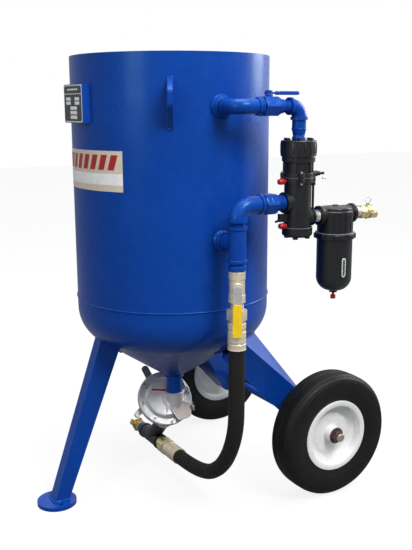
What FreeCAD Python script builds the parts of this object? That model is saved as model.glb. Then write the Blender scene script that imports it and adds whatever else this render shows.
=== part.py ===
import FreeCAD, Part
import math
import os
import Sketcher
from FreeCAD import Placement, Rotation, Vector

# Portable abrasive blast pot: a pressure vessel on one front leg and two wheels, with its air
# line, air valve, moisture filter, metering valve and pusher line. Millimetres, +Z up. The
# vessel's axis is the Z axis, the floor is z = 0, the front leg points to -Y and the wheels
# stand at +Y. The pipework hangs on the +X side.

DRIVING = {
    # vessel
    "tank_radius": 305, "tank_wall": 6, "rim_height": 1369, "skirt_height": 100,
    "knuckle_radius": 120, "cone_slope": 33.9, "cone_apex_height": 332,
    "dish_depth": 62, "dish_drop": 22, "port_radius": 72, "port_ring_width": 22,
    "port_ring_height": 26, "seal_width": 9, "plunger_radius": 60, "plunger_lift": 24,
    "spout_radius": 26, "spout_bore": 19, "spout_drop": 12, "stem_length": 66, "stem_guide": 22,
    "stem_neck": 7, "socket_wall": 9, "socket_depth": 40, "socket_floor": 6, "socket_gap": 13,
    # bosses and pipes of the upper (charging) line
    "charge_drop": 148, "pipe_stand": 85, "charge_pipe": 16.7, "charge_bore": 13,
    "charge_fitting": 21, "charge_bead": 24.5, "bead_width": 9, "boss_length": 24,
    "weld_bead": 5, "fit_gap": 0.15, "charge_bend": 30, "drop_leg_in": 37,
    "drop_leg_out": 38, "charge_valve_y": 101, "charge_valve_half": 31,
    "charge_valve_across": 52, "charge_ball": 17, "stem_radius": 6, "stem_rise": 7,
    "lever_length": 98, "lever_width": 20, "lever_thick": 5,
    # automatic air valve
    "valve_y": 205, "valve_drop": 94, "cap_radius": 51, "cap_height": 44, "collar_radius": 45,
    "collar_height": 18, "neck_radius": 39.5, "neck_height": 29, "flange_radius": 44,
    "flange_height": 14, "body_radius": 39, "body_foot": 72, "base_radius": 44,
    "base_height": 28, "valve_bore": 33, "piston_height": 20, "piston_rod": 59, "valve_bolt": 4,
    "bolt_head_radius": 7.5, "bolt_head_height": 6, "cap_screw_length": 28, "base_screw_length": 16,
    "cap_screw_circle": 38, "base_screw_circle": 30,
    # pusher air line
    "branch_drop": 269, "push_pipe": 21.2, "push_bore": 17.5, "push_fitting": 24.5,
    "push_bead": 28, "push_bend": 40, "push_leg": 80, "push_leg_down": 44, "port_reach": 52,
    "union_across": 56, "union_length": 50, "tee_drop": 107, "tee_half": 51,
    "bush_length": 24, "ball_valve_length": 90, "ball_valve_radius": 24, "valve_grip": 22, "ball_radius": 18.5, "ball_valve_turn": -30,
    "push_lever_steel": 45, "push_lever_sleeve": 92, "push_lever_width": 24,
    "push_lever_thick": 3, "sleeve_thick": 2.5,
    # hose and its end fittings
    "hose_radius": 24, "hose_bore": 16, "ferrule_radius": 26.5, "ferrule_length": 78,
    "ferrule_hex": 50, "hex_length": 31, "groove_width": 7, "ferrule_stub": 21,
    "line_height": 69, "hose_end": 30,
    # moisture filter
    "filter_stand": 140, "supply_margin": 1.5, "filter_head_radius": 52, "filter_head_rise": 26,
    "filter_head_fall": 54, "filter_reach": 66, "filter_nipple": 24, "clamp_radius": 59, "clamp_height": 18,
    "bowl_radius": 53, "bowl_depth": 183, "bowl_wall": 4, "element_radius": 30,
    "knob_radius": 8, "knob_height": 12, "coupling_radius": 21, "coupling_length": 30,
    "claw_reach": 26, "claw_thick": 9, "claw_width": 16, "claw_length": 26, "collar_length": 14,
    "inlet_bore": 12.5, "outlet_bore": 16.5,
    # metering valve
    "meter_x": -21, "meter_y": -25, "meter_rise": 11, "meter_tilt": 34, "meter_azimuth": -10,
    "meter_radius": 91.5, "meter_flange": 9, "meter_dish": 20, "dish_inset": 15,
    "joint_drop": 80, "shoulder_drop": 30, "meter_inlet": 29, "meter_outlet": 27, "disc_margin": 6,
    "disc_thick": 6, "disc_gap": 0.3, "meter_bolt": 4, "bolt_margin": 10.5, "meter_lever": 136,
    "meter_lever_width": 24, "ear_width": 20, "ear_low": 33, "ear_high": 18, "meter_lever_thick": 6, "shaft_radius": 6, "cover_radius": 33,
    "cover_x": 50, "cover_y": 53, "cover_top": 25, "wing_x": 44, "wing_y": 78,
    # pusher wye and outlet
    "wye_half": 62, "wye_reach": 120, "outlet_nipple": 24,
    # legs
    "foot_y": -422, "foot_radius": 61, "foot_thick": 12, "leg_width": 46, "leg_plate": 6,
    "leg_front_low": -436, "leg_back_low": -389, "leg_front_high": -258, "leg_back_high": -197,
    "leg_front_rise": 173, "leg_back_rise": 132, "rear_leg_inner": 237, "rear_leg_width": 57,
    "rear_leg_half": 48,
    # wheels and axle
    "axle_y": 369, "axle_radius": 12.5, "hub_stand": 25, "tyre_radius": 199, "axle_end": 27,
    "tyre_half": 48.5, "rim_flange": 11.5, "rim_radius": 114.5, "rim_plate": 4, "rim_half": 38,
    "hub_radius": 24, "hub_length": 76, "bush_radius": 18, "wheel_gap": 0.4,
    "washer_radius": 26, "washer_thick": 4, "nut_across": 36, "nut_height": 14, "run_fit": 0.05,
    # trim
    "plate_width": 144, "plate_height": 110, "plate_drop": 138, "plate_stand": 13,
    "bracket_thick": 3, "lug_height": 140, "lug_reach": 56, "lug_thick": 14, "lug_drop": 139,
    "lug_angle": -27.6, "lug_eye": 15, "door_width": 170, "door_height": 128, "door_rise": 123,
    "door_frame": 14, "door_reach": 24, "door_lap": 10.5, "door_thick": 10, "door_stud": 8,
    "door_stud_length": 66, "yoke_thick": 12, "yoke_nut": 24,
}

# Sizes that follow from the driving ones, as formulas in the same sheet.
DERIVED = {
    "pipe_plane": "tank_radius + pipe_stand",
    "seam_height": "cone_apex_height + tank_radius * tan(cone_slope * 1 deg) + skirt_height",
    "charge_height": "rim_height - charge_drop",
    "valve_top": "charge_height - valve_drop",
    "branch_height": "charge_height - branch_drop",
    "body_bottom": "branch_height - body_foot",
    "tee_height": "branch_height - tee_drop",
    "ball_valve_top": "tee_height - tee_half - bush_length",
    "fitting_length": "ferrule_length + groove_width + hex_length + ferrule_stub",
    "hose_top": "ball_valve_top - ball_valve_length - fitting_length",
    "filter_y": "valve_y + filter_stand",
    "filter_height": "body_bottom + charge_bead + supply_margin",
    "filter_head_top": "filter_height + filter_head_rise",
    "filter_head_bottom": "filter_height - filter_head_fall",
    "bowl_bottom": "filter_head_bottom - bowl_depth",
    "spout_end_height": "cone_apex_height - spout_drop",
    "meter_shoulder_z": "spout_end_height - shoulder_drop",
    "meter_joint_z": "cone_apex_height - joint_drop",
    "meter_z": "meter_joint_z + meter_rise",
    "bolt_circle": "meter_radius - bolt_margin",
    "meter_dish_radius": "bolt_circle - dish_inset",
    "disc_radius": "meter_dish_radius - disc_margin",
    "axle_height": "tyre_radius",
    "wheel_x": "rear_leg_inner + rear_leg_width + hub_stand + hub_length / 2",
    "tyre_bore": "rim_radius - rim_flange",
    "leg_front_z": "cone_apex_height + leg_front_rise",
    "leg_back_z": "cone_apex_height + leg_back_rise",
    "plate_z": "rim_height - plate_drop",
    "lug_z": "rim_height - lug_drop",
    "door_z": "seam_height + door_rise",
}

doc = FreeCAD.newDocument("BlastPot")
sheet = doc.addObject("Spreadsheet::Sheet", "Sizes")


class Size:
    """A length that knows its number and the sheet expression behind it."""

    def __init__(self, value, text):
        self.value = float(value)
        self.text = text

    def combine(self, other, sign, value, swapped=False):
        other_text = other.text if isinstance(other, Size) else format(other, "g")
        left, right = (other_text, self.text) if swapped else (self.text, other_text)
        return Size(value, "(" + left + " " + sign + " " + right + ")")

    def __add__(self, other):
        return self.combine(other, "+", self.value + number(other))

    def __radd__(self, other):
        return self.combine(other, "+", self.value + number(other), True)

    def __sub__(self, other):
        return self.combine(other, "-", self.value - number(other))

    def __rsub__(self, other):
        return self.combine(other, "-", number(other) - self.value, True)

    def __mul__(self, other):
        return self.combine(other, "*", self.value * number(other))

    def __rmul__(self, other):
        return self.combine(other, "*", self.value * number(other), True)

    def __truediv__(self, other):
        return self.combine(other, "/", self.value / number(other))

    def __neg__(self):
        return Size(-self.value, "(-1 * " + self.text + ")")


def number(thing):
    return thing.value if isinstance(thing, Size) else float(thing)


def fill_sheet():
    rows = list(DRIVING.items()) + [(name, "=" + formula) for name, formula in DERIVED.items()]
    for row, (name, value) in enumerate(rows, start=1):
        cell = "A" + str(row)
        sheet.set(cell, str(value))
        sheet.setAlias(cell, name)
    doc.recompute()


def size(name):
    return Size(sheet.get(name), "Sizes." + name)


fill_sheet()

ALONG_X = Rotation(Vector(0, 1, 0), 90)
ALONG_MINUS_X = Rotation(Vector(0, 1, 0), -90)
ALONG_Y = Rotation(Vector(1, 0, 0), -90)
ALONG_MINUS_Y = Rotation(Vector(1, 0, 0), 90)
UPRIGHT = Rotation()
TOP_DOWN = Rotation(Vector(1, 0, 0), 180)

sub_parts = []


def keep(thing, label):
    """Mark a finished object as one sub-part of the pot."""
    thing.Label = label
    sub_parts.append(thing)
    return thing


def place(thing, x, y, z, turn=UPRIGHT):
    """Put an object at a point given by sizes, and bind the point to the sheet."""
    thing.Placement = Placement(Vector(number(x), number(y), number(z)), turn)
    for axis, value in (("x", x), ("y", y), ("z", z)):
        if isinstance(value, Size):
            thing.setExpression("Placement.Base." + axis, value.text)
    return thing


# ---------------------------------------------------------------- sketches and features

def origin_plane(body, role):
    return next(item for item in body.Origin.OriginFeatures if item.Role == role)


def new_sketch(body, role, lift=0):
    sketch = body.newObject("Sketcher::SketchObject", body.Name + "_sketch")
    sketch.AttachmentSupport = [(origin_plane(body, role), "")]
    sketch.MapMode = "FlatFace"
    if isinstance(lift, Size) or lift:
        sketch.AttachmentOffset = Placement(Vector(0, 0, number(lift)), Rotation())
        if isinstance(lift, Size):
            sketch.setExpression("AttachmentOffset.Base.z", lift.text)
    return sketch


def bind(sketch, kind, geometry, end, value):
    """Hold one coordinate of a sketch point at a size."""
    constraint = Sketcher.Constraint(kind, -1, 1, geometry, end, number(value))
    if abs(number(value)) < 1e-9 and not isinstance(value, Size):
        axis = -2 if kind == "DistanceX" else -1
        constraint = Sketcher.Constraint("PointOnObject", geometry, end, axis)
    index = sketch.addConstraint(constraint)
    if isinstance(value, Size):
        sketch.setExpression("Constraints[" + str(index) + "]", value.text)


def corner_cut(before, corner, after, radius):
    """Tangent points and centre of a round of the given radius in a corner."""
    to_before = (before - corner).normalize()
    to_after = (after - corner).normalize()
    half = to_before.getAngle(to_after) / 2
    reach = radius / math.tan(half)
    middle = (to_before + to_after).normalize()
    return corner + to_before * reach, corner + to_after * reach, corner + middle * (radius / math.sin(half))


def draw_outline(sketch, points):
    """Draw a closed outline of straight runs. A point is (x, y) or (x, y, corner round)."""
    count = len(points)
    spots = [Vector(number(p[0]), number(p[1]), 0) for p in points]
    rounds = [p[2] if len(p) > 2 else 0 for p in points]
    starts, ends, centres = [], [], []
    for i in range(count):
        if number(rounds[i]) > 0:
            cut = corner_cut(spots[i - 1], spots[i], spots[(i + 1) % count], number(rounds[i]))
        else:
            cut = (spots[i], spots[i], None)
        starts.append(cut[0])
        ends.append(cut[1])
        centres.append(cut[2])
    lines = []
    for i in range(count):
        lines.append(sketch.addGeometry(Part.LineSegment(ends[i], starts[(i + 1) % count])))
    for i in range(count):
        before, after = lines[i - 1], lines[i]
        if centres[i] is None:
            sketch.addConstraint(Sketcher.Constraint("Coincident", before, 2, after, 1))
            bind(sketch, "DistanceX", after, 1, points[i][0])
            bind(sketch, "DistanceY", after, 1, points[i][1])
        else:
            add_round(sketch, before, after, spots[i], starts[i], ends[i], centres[i], rounds[i], points[i])


def add_round(sketch, before, after, spot, start, end, centre, radius, point):
    """Round one corner of an outline, with the sharp corner kept as a fixed point."""
    counter_clockwise = (start - centre).cross(end - centre).z > 0
    first = 1 if counter_clockwise else 2
    low, high = (start, end) if counter_clockwise else (end, start)
    angles = [math.atan2(p.y - centre.y, p.x - centre.x) for p in (low, high)]
    circle = Part.Circle(centre, Vector(0, 0, 1), number(radius))
    arc = sketch.addGeometry(Part.ArcOfCircle(circle, angles[0], angles[1]))
    sketch.addConstraint(Sketcher.Constraint("Tangent", before, 2, arc, first))
    sketch.addConstraint(Sketcher.Constraint("Tangent", arc, 3 - first, after, 1))
    index = sketch.addConstraint(Sketcher.Constraint("Radius", arc, number(radius)))
    if isinstance(radius, Size):
        sketch.setExpression("Constraints[" + str(index) + "]", radius.text)
    sharp = sketch.addGeometry(Part.Point(spot), True)
    sketch.addConstraint(Sketcher.Constraint("PointOnObject", sharp, 1, before))
    sketch.addConstraint(Sketcher.Constraint("PointOnObject", sharp, 1, after))
    bind(sketch, "DistanceX", sharp, 1, point[0])
    bind(sketch, "DistanceY", sharp, 1, point[1])


def draw_circle(sketch, x, y, radius):
    spot = Vector(number(x), number(y), 0)
    circle = sketch.addGeometry(Part.Circle(spot, Vector(0, 0, 1), number(radius)))
    bind(sketch, "DistanceX", circle, 3, x)
    bind(sketch, "DistanceY", circle, 3, y)
    index = sketch.addConstraint(Sketcher.Constraint("Radius", circle, number(radius)))
    if isinstance(radius, Size):
        sketch.setExpression("Constraints[" + str(index) + "]", radius.text)


def draw_hexagon(sketch, across, turn=0):
    """A regular hexagon about the origin, by its size across flats."""
    reach = across / math.sqrt(3)
    points = []
    for i in range(6):
        angle = math.radians(60 * i + turn)
        points.append((reach * round(math.cos(angle), 9), reach * round(math.sin(angle), 9)))
    draw_outline(sketch, points)


def new_body(name):
    return doc.addObject("PartDesign::Body", name)


def set_length(feature, length):
    feature.Length = number(length)
    if isinstance(length, Size):
        feature.setExpression("Length", length.text)


def pad(body, sketch, length, both_ways=False, reversed_way=False):
    feature = body.newObject("PartDesign::Pad", body.Name + "_pad")
    feature.Profile = sketch
    set_length(feature, length)
    feature.Midplane = both_ways
    feature.Reversed = reversed_way
    sketch.Visibility = False
    doc.recompute()
    return feature


def pocket(body, sketch, length=None, both_ways=False, reversed_way=False):
    """Cut a pocket, turned round if it would point away from the solid."""
    before = body.Shape.Volume
    feature = body.newObject("PartDesign::Pocket", body.Name + "_pocket")
    feature.Profile = sketch
    if length is None:
        feature.Type = "ThroughAll"
    else:
        set_length(feature, length)
    feature.Midplane = both_ways
    feature.Reversed = reversed_way
    doc.recompute()
    if body.Shape.Volume > before - 1e-3 and not both_ways:
        feature.Reversed = not reversed_way
        doc.recompute()
    if body.Shape.Volume > before - 1e-3:
        raise RuntimeError("pocket cuts nothing in " + body.Label)
    return feature


def revolve(body, sketch, angle=360, groove=False):
    kind = "PartDesign::Groove" if groove else "PartDesign::Revolution"
    feature = body.newObject(kind, body.Name + "_turn")
    feature.Profile = sketch
    feature.ReferenceAxis = (sketch, ["V_Axis"])
    feature.Angle = angle
    doc.recompute()
    return feature


def turned_body(name, profile):
    """A piece turned about its own Z axis from a closed (radius, height) outline."""
    body = new_body(name)
    sketch = new_sketch(body, "XZ_Plane")
    draw_outline(sketch, profile)
    revolve(body, sketch)
    return body


def tube_outline(outer, inner, low, high):
    return [(inner, low), (outer, low), (outer, high), (inner, high)]


def group(label, members):
    """Several separate solids of one kind that share a node."""
    compound = doc.addObject("Part::Compound", label)
    compound.Links = members
    return keep(compound, label)


def fuse(name, members):
    joined = doc.addObject("Part::MultiFuse", name)
    joined.Shapes = members
    return joined


def cut(name, base, tool):
    result = doc.addObject("Part::Cut", name)
    result.Base = base
    result.Tool = tool
    return result


def cylinder(name, radius, length, x=0, y=0, z=0, turn=UPRIGHT):
    item = doc.addObject("Part::Cylinder", name)
    item.Radius = number(radius)
    item.Height = number(length)
    if isinstance(radius, Size):
        item.setExpression("Radius", radius.text)
    if isinstance(length, Size):
        item.setExpression("Height", length.text)
    return place(item, x, y, z, turn)


def box(name, length, width, height, x=0, y=0, z=0, turn=UPRIGHT):
    item = doc.addObject("Part::Box", name)
    for side, value in (("Length", length), ("Width", width), ("Height", height)):
        setattr(item, side, number(value))
        if isinstance(value, Size):
            item.setExpression(side, value.text)
    return place(item, x, y, z, turn)


def prism(name, across, height, x=0, y=0, z=0, turn=UPRIGHT):
    """A hexagonal bar, by its size across flats."""
    item = doc.addObject("Part::Prism", name)
    reach = across / math.sqrt(3)
    item.Polygon = 6
    item.Circumradius = number(reach)
    item.Height = number(height)
    if isinstance(reach, Size):
        item.setExpression("Circumradius", reach.text)
    if isinstance(height, Size):
        item.setExpression("Height", height.text)
    return place(item, x, y, z, turn)


# ---------------------------------------------------------------- derived places

def tangent(angle):
    return Size(math.tan(math.radians(angle.value)), "tan(" + angle.text + " * 1 deg)")


def cosine(angle):
    return Size(math.cos(math.radians(angle.value)), "cos(" + angle.text + " * 1 deg)")


def square_root(thing):
    return Size(math.sqrt(thing.value), "sqrt(" + thing.text + ")")


tank_inner = size("tank_radius") - size("tank_wall")
cone_rise = tangent(size("cone_slope"))
cone_skin = size("tank_wall") / cosine(size("cone_slope"))
dish_top = size("rim_height") - size("dish_drop")
dish_low = dish_top - size("dish_depth")
port_outer = size("port_radius") + size("port_ring_width")
ring_bottom = dish_low - size("tank_wall") - 4
seal_bottom = ring_bottom + 3
plunger_top = seal_bottom - size("plunger_lift") - 0.5
pipe_x = size("pipe_plane")
fitting_length = size("fitting_length")
wye_x = size("hose_end") - fitting_length - size("wye_half")
ball_valve_bottom = size("ball_valve_top") - size("ball_valve_length")
cap_bottom = size("valve_top") - size("cap_height")
collar_bottom = cap_bottom - size("collar_height")
neck_bottom = collar_bottom - size("neck_height")
flange_low = neck_bottom - 2 * size("flange_height")


def cone_outside(radius):
    """Height of the bottom head's outer face at a radius on its cone."""
    return size("cone_apex_height") + radius * cone_rise


# ---------------------------------------------------------------- pressure vessel

def tank_shell():
    body = turned_body("tank_shell", tube_outline(
        size("tank_radius"), tank_inner, size("seam_height"), size("rim_height")))
    holes = new_sketch(body, "YZ_Plane")
    boss = size("charge_fitting") + size("weld_bead") + size("fit_gap")
    draw_circle(holes, 0, size("charge_height"), boss)
    draw_circle(holes, 0, size("tee_height"), size("push_fitting") + size("weld_bead") + size("fit_gap"))
    pocket(body, holes, size("tank_radius") + 10, reversed_way=True)
    door = new_sketch(body, "YZ_Plane")
    draw_door(door, size("door_frame") + size("fit_gap"))
    pocket(body, door, size("tank_radius") + 10)
    keep(body, "tank_shell")


def draw_door(sketch, margin):
    """The rounded outline of the hand hole, grown by a margin."""
    half_width = size("door_width") / 2 + margin
    half_height = size("door_height") / 2 + margin
    low = size("door_z") - half_height
    high = size("door_z") + half_height
    corner = half_height * 0.9
    draw_outline(sketch, [(-half_width, low, corner), (half_width, low, corner),
                          (half_width, high, corner), (-half_width, high, corner)])


def lower_head():
    outer = size("tank_radius")
    spout = size("spout_radius")
    body = turned_body("lower_head", [
        (outer, size("seam_height")),
        (outer, cone_outside(outer), size("knuckle_radius")),
        (spout, cone_outside(spout)),
        (spout, cone_outside(spout) + cone_skin),
        (tank_inner, cone_outside(tank_inner) + cone_skin, size("knuckle_radius") - size("tank_wall")),
        (tank_inner, size("seam_height")),
    ])
    keep(body, "lower_head")


def upper_head():
    wall = size("tank_wall")
    inner = tank_inner - wall
    body = turned_body("upper_head", [
        (tank_inner, dish_top + 12), (inner, dish_top + 12), (inner, dish_top - 14, 24),
        (inner * 0.62, dish_low + 20, 160), (port_outer, dish_low),
        (port_outer, dish_low - wall), (inner * 0.62, dish_low + 20 - wall, 160),
        (tank_inner, dish_top - 14 - wall, 24),
    ])
    keep(body, "upper_head")


def filler_ring():
    port = size("port_radius")
    body = turned_body("filler_ring", [
        (port - 8, ring_bottom), (port_outer - size("fit_gap"), ring_bottom),
        (port_outer - size("fit_gap"), ring_bottom + size("port_ring_height"), 5),
        (port, ring_bottom + size("port_ring_height"), 5), (port, seal_bottom), (port - 8, seal_bottom),
    ])
    keep(body, "filler_ring")


def seat_seal():
    port = size("port_radius") - size("fit_gap")
    body = turned_body("seat_seal", [
        (port - 20, seal_bottom, 2), (port, seal_bottom), (port, seal_bottom + size("seal_width")),
        (port - 20, seal_bottom + size("seal_width"), 2),
    ])
    keep(body, "seat_seal")


def popup_valve():
    """Pop-up closure: a domed plunger on a stem that slides in the guide socket."""
    rim = size("plunger_radius")
    stem = size("charge_bore") - size("run_fit")
    stem_end = plunger_top - size("stem_length")
    neck = size("stem_neck")
    body = turned_body("popup_valve", [
        (0, stem_end), (stem, stem_end), (stem, stem_end + size("stem_guide")),
        (neck, stem_end + size("stem_guide") + 4), (neck, plunger_top - 11), (rim - 8, plunger_top - 9),
        (rim, plunger_top - 5, 2), (rim, plunger_top, 3), (rim - 14, plunger_top + 1), (0, plunger_top + 9),
    ])
    keep(body, "popup_valve")


def popup_guide():
    """Inner air pipe from the charging boss to a closed socket that guides the plunger's stem."""
    height = size("charge_height")
    socket_radius = size("charge_bore") + size("socket_wall")
    socket_low = height - size("socket_depth") - size("socket_floor")
    socket_top = plunger_top - size("socket_gap")
    pipe = cylinder("guide_pipe", size("charge_pipe"), size("tank_radius") - 2, 0, 0, height, ALONG_X)
    socket = cylinder("guide_socket", socket_radius, socket_top - socket_low, 0, 0, socket_low)
    outside = fuse("guide_outside", [pipe, socket])
    pipe_bore = cylinder("guide_pipe_bore", size("charge_bore") - 1, size("tank_radius") - 1, 0, 0, height, ALONG_X)
    socket_bore = cylinder("guide_socket_bore", size("charge_bore"), socket_top - socket_low,
                           0, 0, height - size("socket_depth"))
    inside = fuse("guide_inside", [pipe_bore, socket_bore])
    keep(cut("popup_guide", outside, inside), "popup_guide")


def tube_along(points, bend, radius, bore):
    """A tube whose path is straight runs joined by tangent arcs."""
    path = rounded_path(points, bend)
    start = points[0]
    away = (points[1] - points[0]).normalize()
    profiles = []
    for size_now in (radius, bore):
        ring = Part.Wire(Part.makeCircle(size_now, start, away))
        profiles.append(path.makePipeShell([ring], True, False))
    return profiles[0].cut(profiles[1])


def rounded_path(points, bend):
    """Runs through the points, each corner replaced by an arc. A bend of 0 is as wide as fits."""
    edges = []
    last = points[0]
    for i in range(1, len(points) - 1):
        before, corner, after = points[i - 1], points[i], points[i + 1]
        turn = (corner - before).getAngle(after - corner)
        room = 0.45 * min((corner - before).Length, (after - corner).Length)
        radius = bend if bend else room / math.tan(turn / 2)
        first, second, centre = corner_cut(before, corner, after, radius)
        middle = centre + (corner - centre).normalize() * radius
        edges.append(Part.LineSegment(last, first).toShape())
        edges.append(Part.Arc(first, middle, second).toShape())
        last = second
        if not bend:
            print("hose bend radius", round(radius, 1))
    edges.append(Part.LineSegment(last, points[-1]).toShape())
    return Part.Wire(edges)


def coded(label, shape):
    item = doc.addObject("Part::Feature", label)
    item.Shape = shape
    return keep(item, label)


def coupling(name, radius, weld, bore, length, turn, x, y, z):
    """Half coupling with a weld fillet at its root, along its own Z."""
    body = turned_body(name, [
        (bore, -14), (radius, -14), (radius, 0), (radius + weld, 0), (radius + weld, weld * 0.6),
        (radius, weld * 2), (radius, length, 2), (bore, length),
    ])
    place(body, x, y, z, turn)
    return body


def tank_couplings():
    """Welded couplings of the two air lines and the spout under the bottom head."""
    members = [
        coupling("charge_boss", size("charge_fitting"), size("weld_bead"), size("charge_pipe") + size("fit_gap"),
                 size("boss_length"), ALONG_X, size("tank_radius"), 0, size("charge_height")),
        coupling("pusher_boss", size("push_fitting"), size("weld_bead"), size("push_pipe") + size("fit_gap"),
                 size("boss_length") - 4, ALONG_X, size("tank_radius"), 0, size("tee_height")),
    ]
    spout = turned_body("spout", tube_outline(
        size("spout_radius") - size("fit_gap"), size("spout_bore"), size("spout_end_height"),
        cone_outside(size("spout_radius")) + cone_skin + 6))
    members.append(spout)
    group("tank_couplings", members)


def hand_hole():
    """Oval hand hole at the back: a welded frame, and a cover held from inside by a yoke."""
    face = size("tank_radius") + 10
    frame = new_body("hand_hole_frame")
    ring = new_sketch(frame, "YZ_Plane", -face)
    draw_door(ring, size("door_frame"))
    draw_door(ring, 0)
    pad(frame, ring, size("door_reach") + 10)
    keep(frame, "hand_hole_frame")
    inside = -face + size("door_reach") + 10
    cover = new_body("hand_hole_plate")
    plate = new_sketch(cover, "YZ_Plane", inside)
    draw_door(plate, size("door_lap"))
    pad(cover, plate, size("door_thick"))
    stud = cylinder("hand_hole_stud", size("door_stud"), size("door_stud_length"), inside + 1, 0, size("door_z"),
                    ALONG_MINUS_X)
    door = fuse("hand_hole_cover_stud", [cover, stud])
    yoke = new_body("hand_hole_yoke")
    bar = new_sketch(yoke, "XY_Plane")
    draw_outline(bar, [(-12, -size("door_height") / 2 - 8, 4), (12, -size("door_height") / 2 - 8, 4),
                       (24, 0, 20), (12, size("door_height") / 2 + 8, 4),
                       (-12, size("door_height") / 2 + 8, 4), (-24, 0, 20)])
    draw_circle(bar, 0, 0, size("door_stud") + 2 * size("fit_gap"))
    pad(yoke, bar, size("yoke_thick"))
    place(yoke, -face, 0, size("door_z"), ALONG_MINUS_X)
    nut_face = -face - size("yoke_thick")
    nut = cut("hand_hole_nut",
              prism("hand_hole_hex", size("yoke_nut"), size("door_stud") * 1.6, nut_face, 0, size("door_z"),
                    ALONG_MINUS_X),
              cylinder("hand_hole_nut_bore", size("door_stud") + size("run_fit"), size("door_stud_length"),
                       nut_face + 6, 0, size("door_z"), ALONG_MINUS_X))
    group("hand_hole_cover", [door, yoke, nut])


def lifting_lugs():
    members = []
    for index in range(2):
        lug = new_body("lug_" + str(index + 1))
        outline = new_sketch(lug, "XZ_Plane")
        reach = size("lug_reach")
        half = size("lug_height") / 2
        draw_outline(outline, [(0, -half), (reach, -5, 16), (reach, half / 2, 16), (0, half)])
        draw_circle(outline, reach * 0.5, half * 0.22, size("lug_eye"))
        pad(lug, outline, size("lug_thick"), both_ways=True)
        angle = size("lug_angle").value + 180 * index
        turn = Rotation(Vector(0, 0, 1), angle)
        spot = turn.multVec(Vector(size("tank_radius").value + 0.1, 0, size("lug_z").value))
        lug.Placement = Placement(spot, turn)
        members.append(lug)
    group("lifting_lugs", members)


def nameplate_bracket():
    """Bent plate that stands the name plate off the shell."""
    half = size("plate_width") / 2
    thick = size("bracket_thick")
    front = size("tank_radius") + size("plate_stand")
    back = square_root(size("tank_radius") * size("tank_radius") - (half - thick) * (half - thick)) + 0.1
    body = new_body("nameplate_bracket")
    sketch = new_sketch(body, "XY_Plane")
    draw_outline(sketch, [(-half, -back), (-half, -front, 4), (half, -front, 4), (half, -back),
                          (half - thick, -back), (half - thick, thick - front),
                          (thick - half, thick - front), (thick - half, -back)])
    pad(body, sketch, size("plate_height"))
    place(body, 0, 0, size("plate_z") - size("plate_height") / 2)
    keep(body, "nameplate_bracket")


# ---------------------------------------------------------------- legs, axle and wheels

def front_leg():
    """Tapered channel leg, cut to the bottom head's cone and standing on a round foot."""
    foot = size("foot_thick")
    body = new_body("front_leg")
    side = new_sketch(body, "YZ_Plane")
    front_low = (size("leg_front_low"), foot)
    front_high = (size("leg_front_high"), size("leg_front_z") + 30)
    back_high = (size("leg_back_high"), size("leg_back_z") + 30)
    back_low = (size("leg_back_low"), foot)
    draw_outline(side, [front_low, back_low, back_high, front_high])
    pad(body, side, size("leg_width"), both_ways=True)
    hollow = new_sketch(body, "YZ_Plane")
    plate = size("leg_plate")
    draw_outline(hollow, [(size("leg_front_low") + plate, foot - 1), (size("leg_back_low") + 20, foot - 1),
                          (size("leg_back_high") + 20, size("leg_back_z") + 40),
                          (size("leg_front_high") + plate, size("leg_front_z") + 40)])
    pocket(body, hollow, size("leg_width") - 2 * plate, both_ways=True)
    trim = new_sketch(body, "XZ_Plane")
    wide = size("tank_radius")
    narrow = size("spout_bore")
    draw_outline(trim, [(narrow, cone_outside(narrow)), (wide, cone_outside(wide), size("knuckle_radius")),
                        (wide, size("seam_height")), (narrow, size("seam_height"))])
    revolve(body, trim, groove=True)
    keep(body, "front_leg")


def foot_plate():
    body = new_body("foot_plate")
    disc = new_sketch(body, "XY_Plane")
    draw_circle(disc, 0, 0, size("foot_radius"))
    pad(body, disc, size("foot_thick"))
    holes = new_sketch(body, "XY_Plane")
    for side in (-1, 1):
        draw_circle(holes, side * size("foot_radius") * 0.68, 0, 6)
    pocket(body, holes, size("foot_thick"), reversed_way=True)
    place(body, 0, size("foot_y"), 0)
    keep(body, "foot_plate")


# Corners of a rear leg's section at the bottom head: shares of the tank's radius across, along
# and above the cone's apex.
REAR_LEG_SHARES = [(0.911, 0.439, 0.472), (0.593, 0.658, 0.587), (0.420, 0.498, 0.413), (0.738, 0.279, 0.298)]


def rear_leg_top():
    reach = size("tank_radius").value
    apex = Vector(0, 0, size("cone_apex_height").value)
    return [apex + Vector(*share) * reach for share in REAR_LEG_SHARES]


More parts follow.
